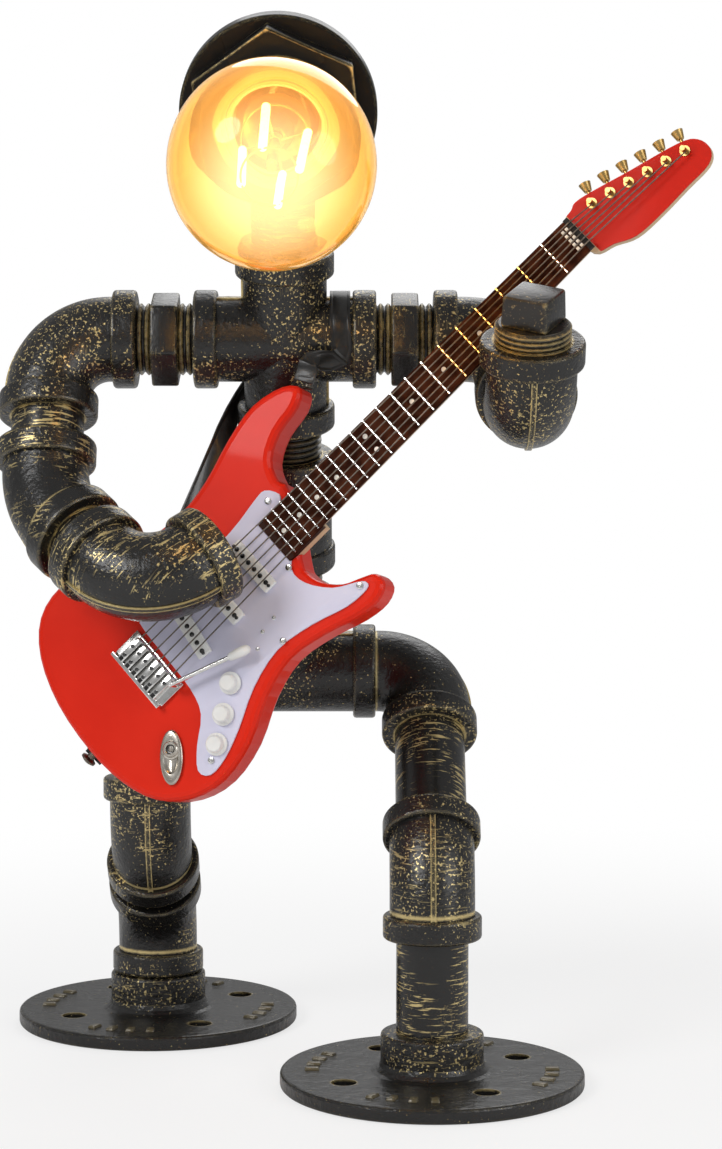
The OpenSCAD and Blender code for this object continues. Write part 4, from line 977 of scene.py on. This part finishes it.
for node, name, width, material, body, slot in (
    ("bridge", "bridge_casting", 0.16, nickel, "frame", "nickel"),
    ("pickguard", "guard_plate_edge", 0.22, guard_plate, "frame", "guard_plate"),
    ("fretboard", "fretboard_edge", 0.15, rosewood, "frame", "rosewood"),
    ("nut", "nut_edge", 0.15, nut_black, "frame", "black_nut"),
    ("hat_hex_bushing", "hat_hexagon", 0.7, hat_iron, "head", "fitting_iron"),
):
    finish_piece(softened(node, name, width), material, body, slot, node)

# %% [markdown]
# ## Pickup covers and the jack dish
# A pickup cover is a moulded box with rounded corners. The jack sits in a pressed oval dish: a flat
# drum is stretched to an oval, its top is drawn in to a rounded rim and then sunk to a trough.

# %% Pickup covers
COVER_HEIGHT = 1.5
cover = block("cover", 4.7, 17.6, COVER_HEIGHT)
draw_in_top(cover, 0.94, 0.985)
soften(cover, 0.4, 3)
covers = repeat("pickup_covers", cover, [
    on_guitar(x, y, GUARD + COVER_HEIGHT / 2, degrees) for x, y, degrees in PICKUPS])
finish_piece(covers, white_plastic, "frame", "white_plastic", "pickups")

# %% Jack dish and its bush
dish = begin(bpy.ops.mesh.primitive_cylinder_add, "dish", vertices=56, radius=MM, depth=MM)
dish.scale = (8.0, 3.6, 1.0)
bpy.ops.object.transform_apply(scale=True)
bpy.ops.object.mode_set(mode="EDIT")
pick(dish, "FACE", looks_up)
bpy.ops.mesh.inset(thickness=0.5 * MM, depth=0.35 * MM)
bpy.ops.mesh.inset(thickness=0.55 * MM, depth=0.1 * MM)
bpy.ops.transform.resize(value=(0.72, 0.98, 1))
bpy.ops.mesh.inset(thickness=0.45 * MM, depth=-0.45 * MM)
bpy.ops.mesh.inset(thickness=0.6 * MM, depth=-0.25 * MM)
bpy.ops.object.mode_set(mode="OBJECT")
put(dish, JACK @ shift(0, 0, -0.5))
soften(dish, 0.12, 2, 25)
finish_piece(dish, worn_nickel, "frame", "nickel", "jack_plate")
bush = turned("jack_bush", [(0, -0.4), (0.95, -0.4), (0.95, 0.25), (1.25, 0.32), (1.5, 0.2),
                            (1.5, -0.5)], 28)
put(bush, JACK_HOLE)
finish_piece(bush, dark_steel, "frame", "nickel")

# %% [markdown]
# ## Globe and filaments
# The glass is a long globe whose back runs out into the neck in one soft curve. Inside, four
# straight filaments stand round the stem between two wire rings. Seen from the front, and from a
# little above, they lean away from each other, brightest of all things in the picture.

# %% Amber globe
MID = 72.3  # the globe's widest place, out from the hat
GLASS_WALL = 0.7
outer = [(12.2, -41), (12.4, -38), (13.6, -34), (16.6, -28.5), (20.0, -22.5), (23.2, -16),
         (25.3, -9.5), (26.4, -3), (26.7, 2), (26.3, 7.5), (24.9, 13), (22.4, 18), (18.8, 22),
         (14.2, 25.2), (9.0, 27.3), (4.0, 28.3), (0, 28.5)]
inner = [(max(r - GLASS_WALL, 0), z - (GLASS_WALL if r < 20 and z > 0 else 0.2)) for r, z in outer]
globe = turned("amber_globe", [(r, z + MID) for r, z in outer + inner[::-1]], 72)
put(globe, HAT)
even_out = globe.modifiers.new("even_out", "SUBSURF")
even_out.levels = 1
even_out.render_levels = 1
bpy.ops.object.modifier_apply(modifier="even_out")
bpy.ops.object.shade_smooth()
finish_piece(globe, glass, "bulb", "amber_glass", "bulb_glass")

# %% Four filaments
AROUND = [turn("Z", 14 + 90 * k) for k in range(4)]
FILAMENT_RING = 8.2
bar = turned("bar", [(0, -20), (0.8, -19.7), (1.15, -19), (1.15, 19), (0.8, 19.7), (0, 20)], 16)
bars = repeat("lit_filaments", bar, [
    HAT @ way @ shift(FILAMENT_RING, 0, MID - 5) @ turn("Y", -2) for way in AROUND])
smooth(bars, 40)
finish_piece(bars, lit, "bulb", "filament", "bulb_filaments")

# %% Their wire rings, the front one bent
RING_BACK, RING_FRONT = MID - 24.6, MID + 14.6
WIRE = 0.28  # radius
rings = []
for z, radius in ((RING_BACK, 9.0), (RING_FRONT, 7.4)):
    ring = begin(bpy.ops.mesh.primitive_torus_add, "wire_ring", major_radius=radius * MM,
                 minor_radius=WIRE * MM, major_segments=40, minor_segments=8)
    if z == RING_FRONT:
        bpy.ops.object.mode_set(mode="EDIT")
        pick(ring, "VERT", lambda v: v.co.y > 0.4 * radius * MM)
        bpy.ops.transform.translate(value=(0, -0.5 * MM, -1.2 * MM))
        bpy.ops.object.mode_set(mode="OBJECT")
    rings.append(put(ring, HAT @ shift(0, 0, z)))
spoke = turned("spoke", [(0, 0), (WIRE, 0), (WIRE, 8.4), (0, 8.4)], 8)
rings.append(repeat("wire_spokes", spoke, [
    HAT @ shift(0, 0, RING_BACK) @ way @ turn("Y", 90) for way in AROUND]))
wires = join("support_wires", rings)
smooth(wires, 40)
finish_piece(wires, holder_brass, "bulb", "filament")
